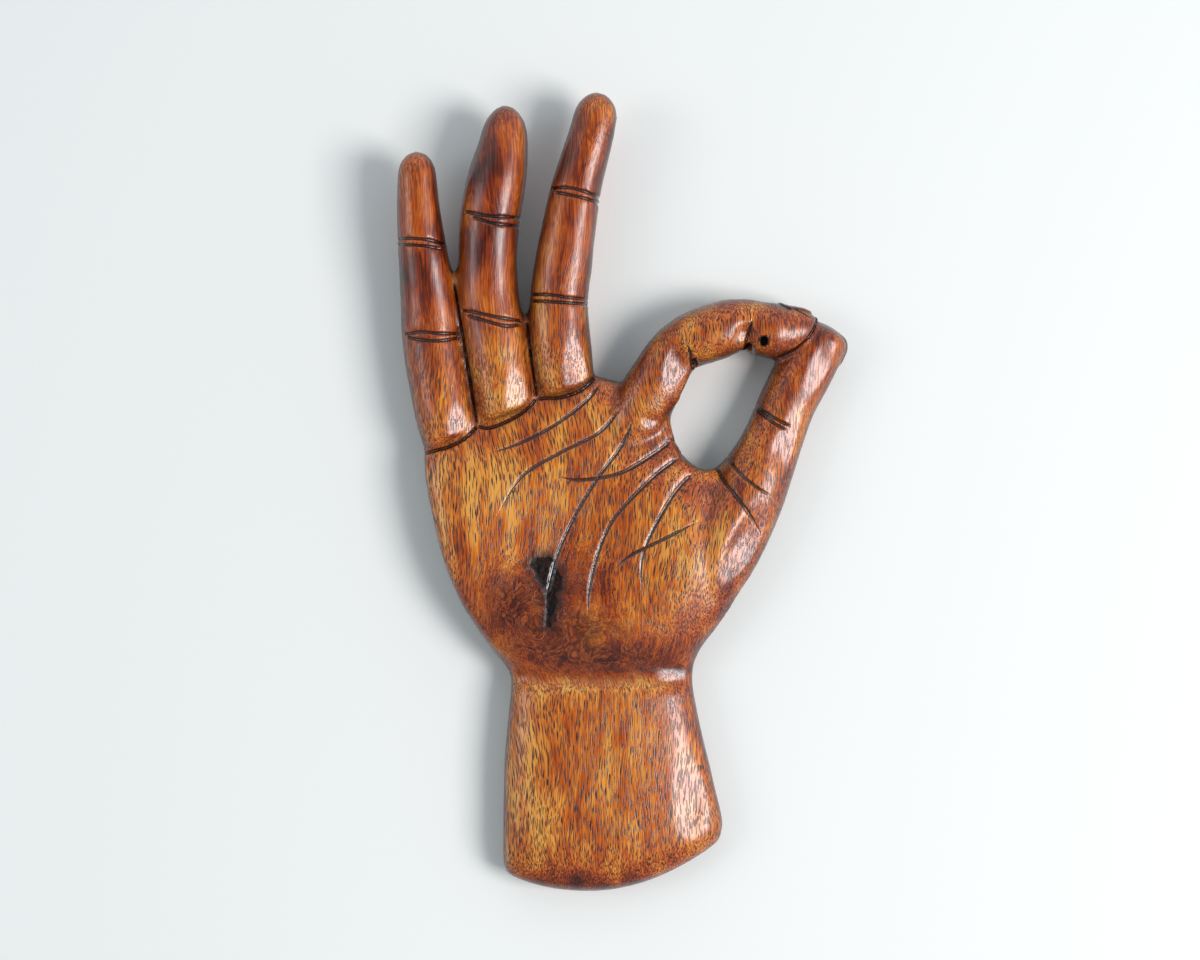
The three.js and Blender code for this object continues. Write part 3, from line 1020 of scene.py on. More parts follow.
        # Where each change of the wood starts and is full, and how far it goes then
        burl = weighted_sum(tree, marks["burl"], ((swirl["Fac"], self.burl_rag),))
        knot = weighted_sum(tree, marks["knot"], ((rag, self.knot_rag),))
        ranges = {
            "streaks": (fibre, 0.32, 0.68, 1.0),
            "burl": (burl, 0.8, 1.5, 0.9),
            # cut: stain left in the cuts and painted shade in them
            "cut": (marks["groove"], 0.12, 0.5, 0.86),
            "halo": (knot, 0.25, 0.72, 0.8),
            "knot": (knot, 0.67, 0.73, 1.0),
            "rotten": (fibre, 0.48, 0.62, 0.8),
        }
        shares = {}
        for name, (value, start, full, most) in ranges.items():
            span = {"Value": value, "From Min": start, "From Max": full, "To Max": most}
            shares[name] = add("ShaderNodeMapRange", SMOOTH, span)

        # Figured wood round the knot lies in flames, and its decayed heart is black with rotten streaks
        flame = add("ShaderNodeMath", {"operation": "PINGPONG"}, {0: swirl["Fac"], 1: self.flame_width})
        parts = zip((flame, shares["streaks"], swirl["Fac"]), self.flame_weights)
        flame = weighted_sum(tree, self.flame_start, tuple(parts))
        decayed = {0: shares["rotten"], 6: linear(self.decay), 7: linear(self.rotten)}
        rot = add("ShaderNodeMix", BLEND, decayed, out=2)
        pores = self.pores(tree, grain, marks["burl"], marks["close_grain"])
        dark = add("ShaderNodeMath", TIMES, {0: pores, 1: self.pore_darkness})
        colour = self.board(tree, grain, shares["streaks"], marks["tone"])
        layers = (
            (shares["burl"], self.ramp(tree, self.flames, flame)),
            # hollows: painted shade and pooled stain
            (marks["hollow"], linear(self.hollow_stain_and_shade_colour)),
            # steep rims: painted shade and toned edges
            (marks["rim"], linear(self.dark_stain_and_rim_shade)),
            (dark, linear(self.pore)),
            # cuts: stain and painted shade
            (shares["cut"], linear(self.cut_stain_and_shade)),
            (shares["halo"], linear(self.dark_stain_and_rim_shade)),
            (shares["knot"], rot),
        )
        for share, tint in layers:
            colour = add("ShaderNodeMix", BLEND, {0: share, 6: colour, 7: tint}, out=2)

        # Pores stay open under the varnish, the fibres show through it, and the darkened cuts and the knot
        # are glossier
        relief = weighted_sum(tree, 0.0, ((fibre, self.fibre_relief), (pores, -1.0)))
        sound = weighted_sum(tree, self.bump, ((shares["knot"], -self.bump),))
        bump = add(
            "ShaderNodeBump",
            inputs={"Height": relief, "Strength": sound, "Distance": self.pore_depth * MM},
        )
        changes = zip((pores, shares["cut"], shares["knot"]), self.roughness_changes)
        surface = add(
            "ShaderNodeBsdfPrincipled",
            inputs={
                "Base Color": colour,
                "Roughness": weighted_sum(tree, self.roughness, tuple(changes)),
                "IOR": self.ior,
                "Coat Weight": self.coat,
                "Coat Roughness": self.coat_roughness,
                "Normal": bump,
                "Coat Normal": bump,
            },
        )
        add("ShaderNodeOutputMaterial", inputs={"Surface": surface})
        return material


@dataclass(frozen=True)
class YellowZincSteel:
    """Pressed or turned steel with yellow-passivated zinc plating, with its pattern in millimetres.

    A thin gold film that drifts to rose, with a fine satin that blurs reflections.
    """

    name: str = "yellow_zinc_plated_steel"
    gold: str = "#CDB374"
    rose: str = "#C79A7C"
    roughness: float = 0.3
    roughness_spread: float = 0.2
    patch: float = 6.0
    mark_spacing: float = 0.3
    mark_length: float = 9.0
    mark_depth: float = 0.02
    mark_strength: float = 0.3

    def make(self) -> Material:
        """Builds the plating, with rolling marks along the strip.

        Returns:
            The material.
        """
        material = bpy.data.materials.new(self.name)
        tree = clear_tree(material)
        add = partial(add_node, tree)
        place = add("ShaderNodeTexCoord", out="Object")
        patches = {"Vector": place, "Scale": 1 / (self.patch * MM), "Detail": 3.0}
        drift = add("ShaderNodeTexNoise", inputs=patches, out="Fac")
        tints = {0: drift, 6: linear(self.gold), 7: linear(self.rose)}
        film = add("ShaderNodeMix", BLEND, tints, out=2)
        mark = (self.mark_spacing * MM, self.mark_length * MM, self.mark_spacing * MM)
        marks = stretched_noise(tree, place, mark, 2.0)
        smoothest = self.roughness - self.roughness_spread / 2
        rough = weighted_sum(tree, smoothest, ((marks, self.roughness_spread),))
        height = {"Height": marks, "Strength": self.mark_strength, "Distance": self.mark_depth * MM}
        bump = add("ShaderNodeBump", inputs=height)
        surface = add(
            "ShaderNodeBsdfPrincipled",
            inputs={"Base Color": film, "Metallic": 1.0, "Roughness": rough, "Normal": bump},
        )
        add("ShaderNodeOutputMaterial", inputs={"Surface": surface})
        return material


class GougeTree:
    """Geometry Nodes that cut lines into a surface and mark the cuts for their stain and painted shade."""

    # Step along a line in millimetres, facings over which a cut sets in, and its least strength
    STEP = 0.25
    FACINGS = (-0.35, 0.05)
    LEAST = 0.02

    def __init__(self) -> None:
        """Builds the tree, with the lines and the gouge's sizes as inputs."""
        tree = bpy.data.node_groups.new("gouged_lines", "GeometryNodeTree")
        kinds = {
            "Lines": "Object",
            "Half Width": "Float",
            "Depth": "Float",
            "Upright": "Float",
            "Stain": "Float",
            "Material": "Material",
        }
        self.tree = tree
        self.keys = open_tree(tree, kinds)
        add = partial(add_node, tree)
        given = add("NodeGroupInput").node.outputs

        line = add("GeometryNodeObjectInfo", inputs={"Object": given["Lines"]}, out="Geometry")
        spaced = {"Curve": line, "Length": self.STEP * MM}
        line = add("GeometryNodeResampleCurve", {"mode": "LENGTH"}, spaced)
        line = add("GeometryNodeCurveToPoints", {"mode": "EVALUATED"}, {"Curve": line}, out="Points")

        # How far each place is from the nearest line, and how strong the cut is there
        place = add("GeometryNodeInputPosition")
        split = add("ShaderNodeSeparateXYZ", inputs={0: place}).node.outputs
        flat = add("ShaderNodeCombineXYZ", inputs={"X": split["X"], "Y": split["Y"]})
        nearest = add("GeometryNodeSampleNearest", inputs={"Geometry": line, "Sample Position": flat})
        sample = {"Geometry": line, "Index": nearest}
        beside = add("GeometryNodeSampleIndex", {"data_type": "FLOAT_VECTOR"}, {**sample, "Value": place})
        radius = add("GeometryNodeInputRadius")
        strength = add("GeometryNodeSampleIndex", {"data_type": "FLOAT"}, {**sample, "Value": radius})
        away = add("ShaderNodeVectorMath", {"operation": "DISTANCE"}, {0: flat, 1: beside}, out="Value")
        reach = add("ShaderNodeMath", TIMES, {0: given["Half Width"], 1: strength})
        share = add("ShaderNodeMath", {"operation": "DIVIDE", "use_clamp": True}, {0: away, 1: reach})

        # A round-bottomed cut on the palm side, square to the surface or straight down
        square = add("ShaderNodeMath", TIMES, {0: share, 1: share})
        cut = add("ShaderNodeMath", {"operation": "SUBTRACT"}, {0: 1.0, 1: square})
        normal = add("GeometryNodeInputNormal")
        up = add("ShaderNodeSeparateXYZ", inputs={0: normal}, out="Z")
        start, full = self.FACINGS
        palm_side = add("ShaderNodeMapRange", inputs={"Value": up, "From Min": start, "From Max": full})
        for factor in (palm_side, strength):
            cut = add("ShaderNodeMath", TIMES, {0: cut, 1: factor})
        inward = cut
        for factor in (given["Depth"], -1.0):
            inward = add("ShaderNodeMath", TIMES, {0: inward, 1: factor})
        ways = {0: given["Upright"], 4: normal, 5: (0.0, 0.0, 1.0)}
        way = add("ShaderNodeMix", {"data_type": "VECTOR"}, ways, out=1)
        offset = add("ShaderNodeVectorMath", {"operation": "SCALE"}, {0: way, "Scale": inward})

        # Marks the cut for its stain and painted shade
        old = add("GeometryNodeInputNamedAttribute", {"data_type": "FLOAT"}, {"Name": "groove"})
        fresh = add("ShaderNodeMath", TIMES, {0: cut, 1: given["Stain"]})
        marked = add("ShaderNodeMath", {"operation": "MAXIMUM"}, {0: old, 1: fresh})
        shape = add(
            "GeometryNodeStoreNamedAttribute",
            {"data_type": "FLOAT", "domain": "POINT"},
            {"Geometry": given["Geometry"], "Name": "groove", "Value": marked},
        )
        shape = add("GeometryNodeSetPosition", inputs={"Geometry": shape, "Offset": offset})
        close_tree(tree, shape, given["Material"])

    def cut(self, piece: Piece, gouging: Gouging, material: Material) -> None:
        """Cuts lines into a piece.

        Args:
            piece: Object that is cut.
            gouging: The lines and the gouge.
            material: Finish of the piece.
        """
        curve = bpy.data.curves.new(gouging.name, "CURVE")
        curve.dimensions = "3D"
        for line in gouging.lines:
            path = line.path()
            spline = curve.splines.new("POLY")
            spline.points.add(len(path) - 1)
            for point, (x, y, strength) in zip(spline.points, path):
                point.co = (x * MM, y * MM, 0.0, 1.0)
                point.radius = max(strength, self.LEAST)
        lines = bpy.data.objects.new(gouging.name, curve)
        bpy.context.scene.collection.objects.link(lines)
        values = {
            "Lines": lines,
            "Half Width": gouging.half_width * MM,
            "Depth": gouging.depth * MM,
            "Upright": gouging.stroke.value,
            "Stain": gouging.cut_stain_and_shade,
            "Material": material,
        }
        run_tree(piece, self.tree, self.keys, values)
        bpy.data.batch_remove((lines, curve))


@dataclass
class CarvedHand:
    """The wooden hand: one body, smoothed from the solid and then gouged, with its mortise at the back.

    Sizes are in millimetres. A facing is the upward part of a normal: one faces up, minus one faces down.
    """

    voxel: float = 1.15
    plug_margin: float = 2.0
    plug_height: float = 15.0
    # Each sanding shrinks the shape and swells it again, and leaves most of a carved step standing
    sandings: int = 30
    sanding: tuple[float, float] = (0.5, -0.52)
    step_reach: float = 3.0
    step_hold: float = 0.75
    step_facing: float = -0.3
    back_skin: float = 0.9
    back_facing: float = -0.6
    edge_rubs: int = 10
    edge_height: float = 3.0
    edge_fade: float = 1.5
    hollow_rubs: int = 40
    hollow_depth: float = 1.2
    hollow_shade: float = 0.75
    # Steep rims get painted shade, with some darker toned edges, from the first facing down, over its span,
    # and clear again towards the end
    rim_from: float = 0.82
    rim_span: float = 0.6
    rim_end: float = -0.9
    rim_end_span: float = 0.4
    rim_shade: float = 0.85
    mortise_gap: float = 0.3
    mortise_corner: float = 5.3
    mortise_bottom: float = -5.0
    cavity_width: float = 11.5
    cavity_length: float = 22.5
    cavity_middle: float = 1.0
    cavity_top: float = 8.4
    corner_gap: float = 0.01
    screw_hole_radius: float = 1.75
    screw_hole_top: float = 12.7
    worm_hole: Point = (52.4, 57.0)
    worm_hole_radius: float = 1.4
    worm_hole_stretch: float = 1.25
    worm_hole_heights: tuple[float, float] = (14.0, 40.0)
    worm_hole_stain: float = 1.4
    worm_hole_margins: tuple[float, float] = (0.1, 2.0)
    # How near a line, a nail or the knot the mesh is split, in each round
    fine_reaches: tuple[Triple, ...] = ((2.2, 9.0, 6.0), (1.15, 0.0, 0.0))
    fine_facing: float = -0.4
    groove_rubs: int = 2
    groove_rub: float = 0.35
    groove_least: float = 0.01
    burl_end: float = -0.2
    burl_end_span: float = 0.4
    knot_facing: float = 0.2
    knot_blend: float = 14.0
    knot_edge: float = 2.0
    knot_sink: float = 0.3
    rot_size: float = 1.6
    rot_height: float = 0.12
    wave_size: float = 11.0
    wave_height: float = 0.16
    wave_floor: float = 1.0
    crisp_angle: float = 62.0

    def build(self, material: Material) -> Piece:
        """Carves the hand.

        Args:
            material: Finish of the wood.

        Returns:
            The finished piece.
        """
        piece = self.blank()
        self.soften(piece.data)
        self.mortise(piece)
        self.refine(piece.data)
        gouge = GougeTree()
        for gouging in ALL_GOUGING:
            gouge.cut(piece, gouging, material)
        self.finish_surface(piece.data)
        self.dress(piece.data)
        return piece

    def blank(self) -> Piece:
        """Copies the solid, closes its mortise and gives it an even mesh.

        Returns:
            The rough hand.
        """
        body = node_copy("carved_hand")
        low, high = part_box("keyhole_plate")
        middle = (low + high) / 2
        margin = 2 * self.plug_margin * MM
        size = (high.x - low.x + margin, high.y - low.y + margin, self.plug_height * MM)
        plug = Matrix.Translation((middle.x, middle.y, size[2] / 2)) @ Matrix.Diagonal((*size, 1.0))
        bmesh.ops.create_cube(body, size=1.0, matrix=plug)
        piece = piece_from("carved_hand_wood", body)
        remesh = piece.modifiers.new("even", "REMESH")
        remesh.mode = "VOXEL"
        remesh.voxel_size = self.voxel * MM
        settle(piece)
        return piece

    def soften(self, mesh: Mesh) -> None:
        """Sands the flat facets away, keeps the carved steps, and marks the hollows and the steep rims for
        stain and painted shade.

        Args:
            mesh: Mesh of the rough hand.
        """
        edges = mesh_edges(mesh)
        places = vertex_places(mesh)
        normals = vertex_normals(mesh)
        steps = self.line_tree((FINGER_ROOTS, INDEX_FOLDS, FINGER_VALLEYS))
        near = np.array([steps.find((x, y, 0.0))[2] for x, y, _ in places])
        hold = np.exp(-((near / self.step_reach) ** 2)) * (normals[:, 2] > self.step_facing)
        ease = (1 - self.step_hold * hold)[:, None]
        for _ in range(self.sandings):
            for share in self.sanding:
                places += share * ease * (neighbour_mean(places, edges) - places)
        for chisel_flat in CHISEL_FLATS:
            places = chisel_flat.press(places, normals)
        flat = (places[:, 2] < self.back_skin) & (normals[:, 2] < self.back_facing)
        places[flat, 2] = 0.0
        for _ in range(self.edge_rubs):
            low_edge = 0.5 * smooth_step((self.edge_height - places[:, 2]) / self.edge_fade)
            places += low_edge[:, None] * (neighbour_mean(places, edges) - places)
            places[:, 2] = np.maximum(places[:, 2], 0.0)
        move_vertices(mesh, places)

        normals = vertex_normals(mesh)
        # Hollows get painted shade, with some stain pooled in them
        rounded = places.copy()
        for _ in range(self.hollow_rubs):
            rounded += 0.5 * (neighbour_mean(rounded, edges) - rounded)
        inward = np.einsum("ij,ij->i", rounded - places, normals)
        paint(mesh, "hollow", np.clip(inward / self.hollow_depth, 0, 1) * self.hollow_shade)
        facing = normals[:, 2]
        # Steep sides darkened by their facing: painted shade, partly toned edges
        rim = smooth_step((self.rim_from - facing) / self.rim_span)
        rim *= smooth_step((facing - self.rim_end) / self.rim_end_span)
        paint(mesh, "rim", rim * self.rim_shade)
        paint(mesh, "groove", np.zeros(len(places)))

    def mortise(self, piece: Piece) -> None:
        """Cuts the hanger's mortise, its screw holes and the worm hole.

        Args:
            piece: The smoothed hand.
        """
        cutter = bmesh.new()
        low, high = (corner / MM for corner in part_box("keyhole_plate"))
        middle = (low + high) / 2
        gap = self.mortise_gap
        size = (high.x - low.x + 2 * gap, high.y - low.y + 2 * gap)
        heights = (self.mortise_bottom, high.z + gap)
        self.add_slot(cutter, (middle.x, middle.y), size, self.mortise_corner, heights)
        self.add_slot(
            cutter,
            (middle.x, middle.y + self.cavity_middle),
            (self.cavity_width, self.cavity_length),
            self.cavity_width / 2 - self.corner_gap,
            (high.z, self.cavity_top),
        )
        holes = []
        for screw in ("plate_screw_upper", "plate_screw_lower"):
            screw_low, screw_high = (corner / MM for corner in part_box(screw))
            at = (screw_low + screw_high) / 2
            holes.append(((at.x, at.y), self.screw_hole_radius, 1.0, (high.z, self.screw_hole_top)))
        holes.append(
            (self.worm_hole, self.worm_hole_radius, self.worm_hole_stretch, self.worm_hole_heights)
        )
        for place, radius, stretch, heights in holes:
            size = (2 * radius, 2 * radius * stretch)
            self.add_slot(cutter, place, size, radius - self.corner_gap, heights)
        subtract(piece, cutter)

    @staticmethod
    def add_slot(
        body: Body,
        middle: Point,
        size: tuple[float, float],
        corner: float,
        heights: tuple[float, float],
    ) -> None:
        """Adds an upright block with round corners.

        Args:
            body: Mesh that it joins.
            middle: x and y of its middle, in millimetres.
            size: Width and length.
            corner: Radius of its corners.
            heights: Lowest and highest z.
        """
        outline = []
        for turn, (side_x, side_y) in enumerate(((1, 1), (-1, 1), (-1, -1), (1, -1))):
            for part in range(9):
                angle = math.pi / 2 * (turn + part / 8)
                x = middle[0] + side_x * (size[0] / 2 - corner) + corner * math.cos(angle)
                y = middle[1] + side_y * (size[1] / 2 - corner) + corner * math.sin(angle)
                outline.append((x * MM, y * MM))
        base = [body.verts.new((x, y, heights[0] * MM)) for x, y in outline]
        top = [body.verts.new((x, y, heights[1] * MM)) for x, y in outline]
        body.faces.new(base[::-1])
        body.faces.new(top)
        for here in range(len(base)):
            there = (here + 1) % len(base)
            body.faces.new((base[here], base[there], top[there], top[here]))

    @staticmethod
    def line_tree(groups: tuple[Gouging, ...]) -> KDTree:
        """Gathers the lines' places for quick searching.

        Args:
            groups: Lines to gather.

        Returns:
            A tree of their places, laid flat, in millimetres.
        """
        places = [(x, y) for group in groups for line in group.lines for x, y, _ in line.path()]
        tree = KDTree(len(places))
        for number, (x, y) in enumerate(places):
            tree.insert((x, y, 0.0), number)
        tree.balance()
        return tree

    def refine(self, mesh: Mesh) -> None:
        """Splits the mesh finely where lines, nails and the knot come.

        Args:
            mesh: Mesh of the smoothed hand.
        """
        tree = self.line_tree(ALL_GOUGING)
        body = bmesh.new()
        body.from_mesh(mesh)
        for line_reach, nail_reach, knot_reach in self.fine_reaches:
            body.normal_update()
            near = set()
            for vertex in body.verts:
                place = vertex.co / MM
                facing = vertex.normal.z
                if (
                    (facing > self.fine_facing and tree.find((place.x, place.y, 0.0))[2] < line_reach)
                    or any((place - Vector(nail.middle)).length < nail_reach for nail in NAILS)
                    or (facing > 0 and any(math.dist(place.xy, at) < knot_reach for at in KNOT_OUTLINE))
                ):
                    near.add(vertex)
            edges = [e for e in body.edges if e.verts[0] in near and e.verts[1] in near]
            bmesh.ops.subdivide_edges(body, edges=edges, cuts=1, use_grid_fill=True)
        bmesh.ops.triangulate(body, faces=[f for f in body.faces if len(f.verts) > 4])
        body.to_mesh(mesh)
        body.free()

    def finish_surface(self, mesh: Mesh) -> None:
        """Raises the nails, roughens the knot and leaves the faint waves of the hand tools.

        Args:
            mesh: Mesh of the gouged hand.
        """
        places = vertex_places(mesh)
        normals = vertex_normals(mesh)
        edges = mesh_edges(mesh)
        groove = read_rows(mesh.attributes["groove"].data, "value", 1, np.float32)
        worked = self.groove_rub * (neighbour_mean(groove.astype(float), edges) > self.groove_least)
        for _ in range(self.groove_rubs):
            places += worked * (neighbour_mean(places, edges) - places)
        out = np.zeros(len(places))
        for nail in NAILS:
            out += nail.lift(places, normals)
        inside_knot = depth_inside(KNOT_OUTLINE, places)
        on_palm = normals[:, 2] > self.knot_facing
        knot = smooth_step(0.5 + inside_knot / self.knot_blend) * on_palm
        sunk = smooth_step(0.5 + inside_knot / self.knot_edge) * on_palm
        waves = np.array([noise.noise(Vector(place) / self.wave_size) for place in places])
        rough = np.array([noise.noise(Vector(place) / self.rot_size) for place in places])
        out += self.wave_height * waves * (places[:, 2] > self.wave_floor)
        out += sunk * (self.rot_height * rough - self.knot_sink)
        moved = places + normals * out[:, None]
        moved[:, 2] = np.maximum(moved[:, 2], 0.0)
        move_vertices(mesh, moved)

        paint(mesh, "knot", knot)
        upward = smooth_step((normals[:, 2] - self.burl_end) / self.burl_end_span)
        paint(mesh, "burl", np.clip(sum(spot.over(places) for spot in BURLS), 0, 1) * upward)
        paint(mesh, "close_grain", np.clip(sum(spot.over(places) for spot in CLOSE_GRAINS), 0, 1))
        paint(mesh, "tone", np.clip(sum(spot.over(places) for spot in TONES_AND_PAINTED_LIGHT), -1, 1))
        x, y = self.worm_hole
        away = np.hypot(places[:, 0] - x, (places[:, 1] - y) / self.worm_hole_stretch)
        beside, below = self.worm_hole_margins
        in_hole = away < self.worm_hole_radius + beside
        in_hole &= places[:, 2] > self.worm_hole_heights[0] - below
        paint(mesh, "groove", np.where(in_hole, self.worm_hole_stain, groove[:, 0]))

    def dress(self, mesh: Mesh) -> None:
        """Shades the wood smoothly, but keeps the mortise's edges crisp."""
        shade_smooth(mesh, self.crisp_angle)


@dataclass
class HangerPlate:
    """Keyhole plate in the back, pressed from strip with its edges eased."""

    edge: float = 0.25
    eased_angle: float = 40.0
    crisp_angle: float = 35.0

    def build(self, material: Material) -> Piece:
        """Rounds the edges of the solid plate.

        Args:
            material: Plating of the steel.

        Returns:
            The finished piece.
        """
        body = node_copy("keyhole_plate")
        bmesh.ops.dissolve_limit(
            body,
            angle_limit=math.radians(1.0),
            verts=body.verts,
            edges=body.edges,
            use_dissolve_boundaries=False,
        )
        piece = piece_from("hanger_plate", body)
        bevel = piece.modifiers.new("eased", "BEVEL")
        bevel.width = self.edge * MM
        bevel.segments = 2
        bevel.limit_method = "ANGLE"
        bevel.angle_limit = math.radians(self.eased_angle)
        settle(piece)
        self.dress(piece.data, material)
        return piece

    def dress(self, mesh: Mesh, material: Material) -> None:
        """Shades the plate and gives it its plating.

        Args:
            mesh: Mesh of the plate.
            material: Plating of the steel.
        """
        shade_smooth(mesh, self.crisp_angle)
        mesh.materials.clear()
        mesh.materials.append(material)


@dataclass
class PlateScrews:
    """The two countersunk wood screws of the hanger, in millimetres, set by Geometry Nodes."""

    head_radius: float = 2.9
    head_rim: float = 0.3
    head_height: float = 1.9
    core_radius: float = 1.05
    thread_depth: float = 0.4
    thread_pitch: float = 1.6
    length: float = 12.0
    point: float = 2.5
    tip: float = 0.2
    sides: int = 24
    step: float = 0.16
    cross_width: float = 3.2
    cross_arm: float = 0.8
    cross_depth: float = 1.1
    turn: float = 38.0
    crisp_angle: float = 40.0

    def radius(self, depth: float, turn: float) -> float:
        """Gives the screw's radius.

        Args:
            depth: Distance below the outer face of the head.
            turn: Share of a turn round the axis.

        Returns:
            Radius in millimetres.
        """
        shank = self.core_radius + self.thread_depth
        if depth <= self.head_rim:
            return self.head_radius
        if depth <= self.head_height:
            share = (depth - self.head_rim) / (self.head_height - self.head_rim)
            return self.head_radius + (shank - self.head_radius) * share
        phase = (depth / self.thread_pitch - turn) % 1.0
        thread = max(0.0, 1 - abs(phase - 0.5) * 4)
        taper = min(1.0, (self.length - depth) / self.point)
        return (self.core_radius + self.thread_depth * thread) * taper

    def one_screw(self) -> Piece:
        """Turns one screw that points along +Z, with a cross in its head.

        Returns:
            A pattern object for the instances.
        """
        body = bmesh.new()
        count = math.ceil((self.length - self.head_height - self.tip) / self.step)
        depths = [0.0, self.head_rim, self.head_height]
        depths += [self.head_height + self.step * (number + 1) for number in range(count - 1)]
        rings = []
        for depth in depths:
            ring = []
            for side in range(self.sides):
                angle = 2 * math.pi * side / self.sides
                radius = self.radius(depth, side / self.sides)
                ring.append(body.verts.new((radius * math.cos(angle), -radius * math.sin(angle), depth)))
            rings.append(ring)
        for low, high in zip(rings, rings[1:]):
            for side in range(self.sides):
                after = (side + 1) % self.sides
                body.faces.new((low[side], high[side], high[after], low[after]))
        body.faces.new(rings[0])
        tip = body.verts.new((0.0, 0.0, self.length))
        for side in range(self.sides):
            body.faces.new((rings[-1][side], tip, rings[-1][(side + 1) % self.sides]))
        bmesh.ops.recalc_face_normals(body, faces=body.faces)
        screw = piece_from("screw_pattern", body)
        arms = bmesh.new()
        for size in ((self.cross_width, self.cross_arm), (self.cross_arm, self.cross_width)):
            place = Matrix.Translation((0, 0, self.cross_depth - 1)) @ Matrix.Diagonal((*size, 2.0, 1.0))
            bmesh.ops.create_cube(arms, size=1.0, matrix=place)
        subtract(screw, arms)
        screw.data.transform(Matrix.Scale(MM, 4))
        return screw

    def build(self, material: Material) -> Piece:
        """Sets a screw at each hole of the plate.

        Args:
            material: Plating of the steel.

        Returns:
            One piece with both screws.
        """
        pattern = self.one_screw()
        places = bpy.data.meshes.new("plate_screws")
        heads = []
        for node in ("plate_screw_upper", "plate_screw_lower"):
            low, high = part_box(node)
            heads.append(((low.x + high.x) / 2, (low.y + high.y) / 2, low.z))
        places.from_pydata(heads, [], [])
        piece = new_piece("plate_screws", places)

        tree = bpy.data.node_groups.new("screws_in_their_holes", "GeometryNodeTree")
        keys = open_tree(tree, {"Screw": "Object", "Turn": "Float", "Material": "Material"})
        add = partial(add_node, tree)
        given = add("NodeGroupInput").node.outputs
        screw = add("GeometryNodeObjectInfo", inputs={"Object": given["Screw"]}, out="Geometry")
        number = add("GeometryNodeInputIndex")
        angle = add("ShaderNodeMath", TIMES, {0: number, 1: given["Turn"]})
        spin = add("ShaderNodeCombineXYZ", inputs={"Z": angle})
        pair = add(
            "GeometryNodeInstanceOnPoints",
            inputs={"Points": given["Geometry"], "Instance": screw, "Rotation": spin},
        )
        close_tree(tree, pair, given["Material"])
        values = {"Screw": pattern, "Turn": math.radians(self.turn), "Material": material}
        run_tree(piece, tree, keys, values)
        bpy.data.batch_remove((pattern, pattern.data))
        self.dress(piece.data)
        return piece

    def dress(self, mesh: Mesh) -> None:
        """Shades the screws smoothly, but keeps their edges crisp."""
        shade_smooth(mesh, self.crisp_angle)


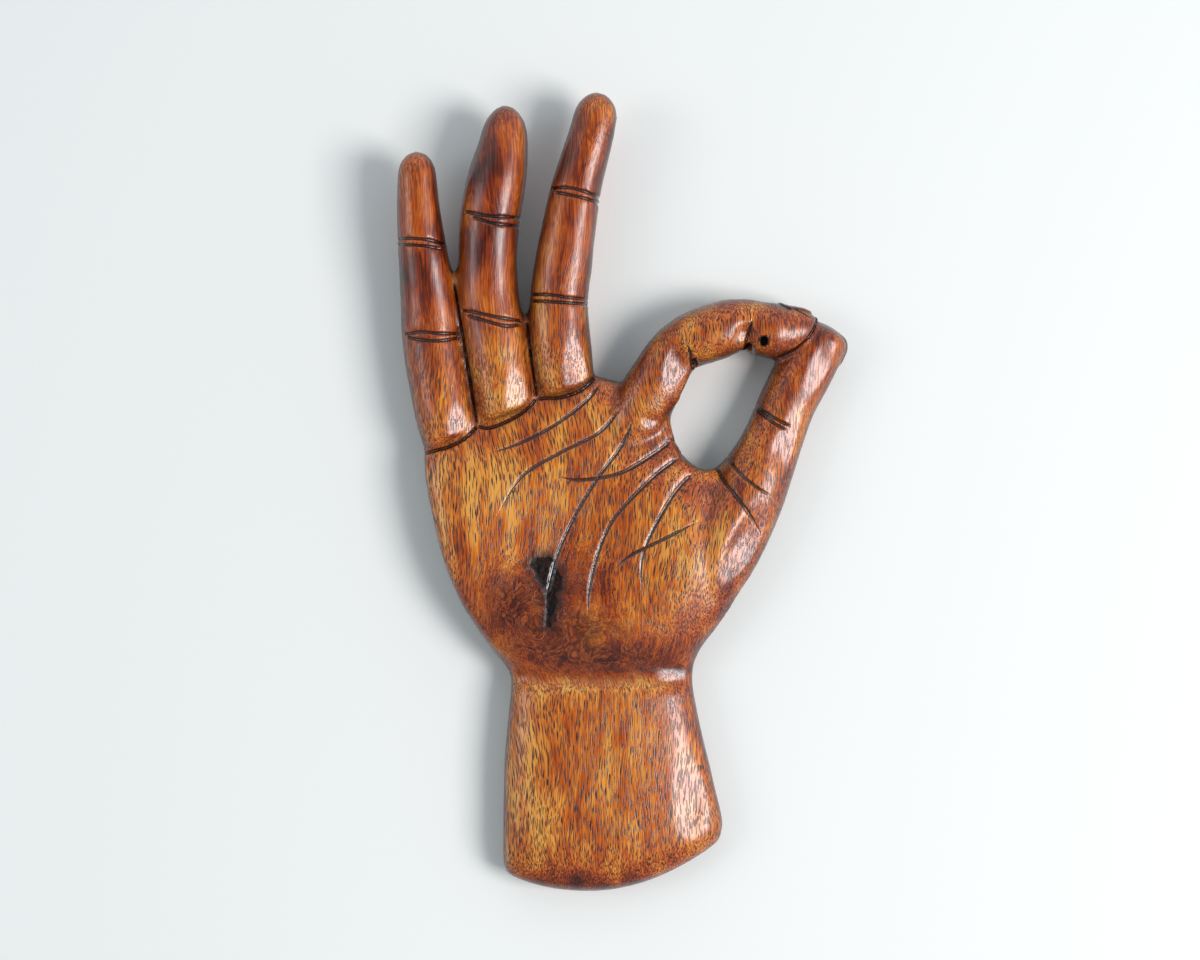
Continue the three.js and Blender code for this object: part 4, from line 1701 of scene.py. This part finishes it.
@dataclass
class Studio:
    """Pale floor, softbox on the thumb side, weak fill facing it, soft room light and camera above."""

    floor_size: float = 6.0
    floor_colour: str = "#F9F5F2"
    floor_roughness: float = 0.9
    floor_gloss: float = 0.1
    sky_colour: str = "#D6EAF3"
    sky_side: float = 0.6
    sky_top: float = 0.1
    ceiling_from: float = 0.84
    ceiling_full: float = 0.97
    sky_lean: Triple = (0.15, 0.5, 0.0)
    lamp_power: float = 27.5
    fill_power: float = 5.0
    fill_elevation: float = 38.0
    fill_azimuth: float = 176.0
    lamp_size: float = 0.82
    lamp_distance: float = 1.9
    lamp_elevation: float = 45.0
    lamp_azimuth: float = -12.0
    camera_place: Triple = (-8.5, 5.4, 800.0)
    view_width: float = 458.2
    sensor: float = 36.0
    sight: float = 50.0

    def build(self) -> None:
        """Sets up the floor, the light and the camera."""
        self.floor()
        self.sky()
        self.lamp("main_softbox", self.lamp_power, self.lamp_elevation, self.lamp_azimuth)
        self.lamp("fill_softbox", self.fill_power, self.fill_elevation, self.fill_azimuth)
        self.camera()

    def floor(self) -> None:
        """Lays a matt pale floor under the hand."""
        body = bmesh.new()
        bmesh.ops.create_grid(body, x_segments=2, y_segments=2, size=self.floor_size / 2)
        mesh = bpy.data.meshes.new("floor")
        body.to_mesh(mesh)
        body.free()
        material = bpy.data.materials.new("matt_painted_board")
        tree = clear_tree(material)
        surface = add_node(
            tree,
            "ShaderNodeBsdfPrincipled",
            inputs={
                "Base Color": linear(self.floor_colour),
                "Roughness": self.floor_roughness,
                "Specular IOR Level": self.floor_gloss,
            },
        )
        add_node(tree, "ShaderNodeOutputMaterial", inputs={"Surface": surface})
        mesh.materials.append(material)
        new_piece("floor", mesh)

    def sky(self) -> None:
        """Lights the hand from pale walls, brighter towards lamp and fingertips, and a dark ceiling."""
        world = bpy.data.worlds.new("pale_room")
        bpy.context.scene.world = world
        add = partial(add_node, clear_tree(world))
        way = add("ShaderNodeTexCoord", out="Generated")
        height = add("ShaderNodeSeparateXYZ", inputs={0: way}, out="Z")
        strength = add(
            "ShaderNodeMapRange",
            SMOOTH,
            {
                "Value": height,
                "From Min": self.ceiling_from,
                "From Max": self.ceiling_full,
                "To Min": self.sky_side,
                "To Max": self.sky_top,
            },
        )
        lean = add(
            "ShaderNodeVectorMath", {"operation": "DOT_PRODUCT"}, {0: way, 1: self.sky_lean}, out="Value"
        )
        leaned = {0: strength, 1: lean, 2: strength}
        strength = add("ShaderNodeMath", TIMES_PLUS, leaned)
        light = add(
            "ShaderNodeBackground", inputs={"Color": linear(self.sky_colour), "Strength": strength}
        )
        add("ShaderNodeOutputWorld", inputs={"Surface": light})

    def lamp(self, name: str, power: float, elevation: float, azimuth: float) -> None:
        """Hangs a softbox that faces the hand.

        Args:
            name: Name of the lamp.
            power: Power in watts.
            elevation: Degrees above the floor.
            azimuth: Degrees round from the thumb side.
        """
        light = bpy.data.lights.new(name, "AREA")
        light.shape = "SQUARE"
        light.size = self.lamp_size
        light.energy = power
        lamp = bpy.data.objects.new(name, light)
        bpy.context.scene.collection.objects.link(lamp)
        up, round_ = math.radians(elevation), math.radians(azimuth)
        way = Vector((math.cos(up) * math.cos(round_), math.cos(up) * math.sin(round_), math.sin(up)))
        lamp.location = way * self.lamp_distance
        lamp.rotation_mode = "QUATERNION"
        lamp.rotation_quaternion = (-way).to_track_quat("-Z", "Y")

    def camera(self) -> None:
        """Places the camera straight above the hand, fingertips up."""
        lens = bpy.data.cameras.new("camera")
        lens.sensor_width = self.sensor
        lens.lens = self.sensor * self.camera_place[2] / self.view_width
        lens.clip_end = self.sight
        camera = bpy.data.objects.new("camera", lens)
        camera.location = Vector(self.camera_place) * MM
        bpy.context.scene.collection.objects.link(camera)
        bpy.context.scene.camera = camera


def report(piece: Piece) -> None:
    """Logs a piece's name and triangle count.

    Args:
        piece: Finished piece.
    """
    piece.data.calc_loop_triangles()
    LOG.info("%s: %d triangles", piece.name, len(piece.data.loop_triangles))


def main() -> None:
    """Builds the hand, its hanger and the studio."""
    logging.basicConfig(level=logging.INFO, format="%(message)s")
    bpy.context.scene.view_settings.view_transform = "Standard"
    wood = VarnishedSuarWood().make()
    zinc = YellowZincSteel().make()

    hand = CarvedHand().build(wood)
    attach(hand, "root")
    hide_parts("carved_hand")
    report(hand)

    plate = HangerPlate().build(zinc)
    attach(plate, "root")
    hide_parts("keyhole_plate")
    report(plate)

    screws = PlateScrews().build(zinc)
    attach(screws, "root")
    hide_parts("plate_screw_upper", "plate_screw_lower")
    report(screws)

    Studio().build()


if __name__ == "__main__":
    main()
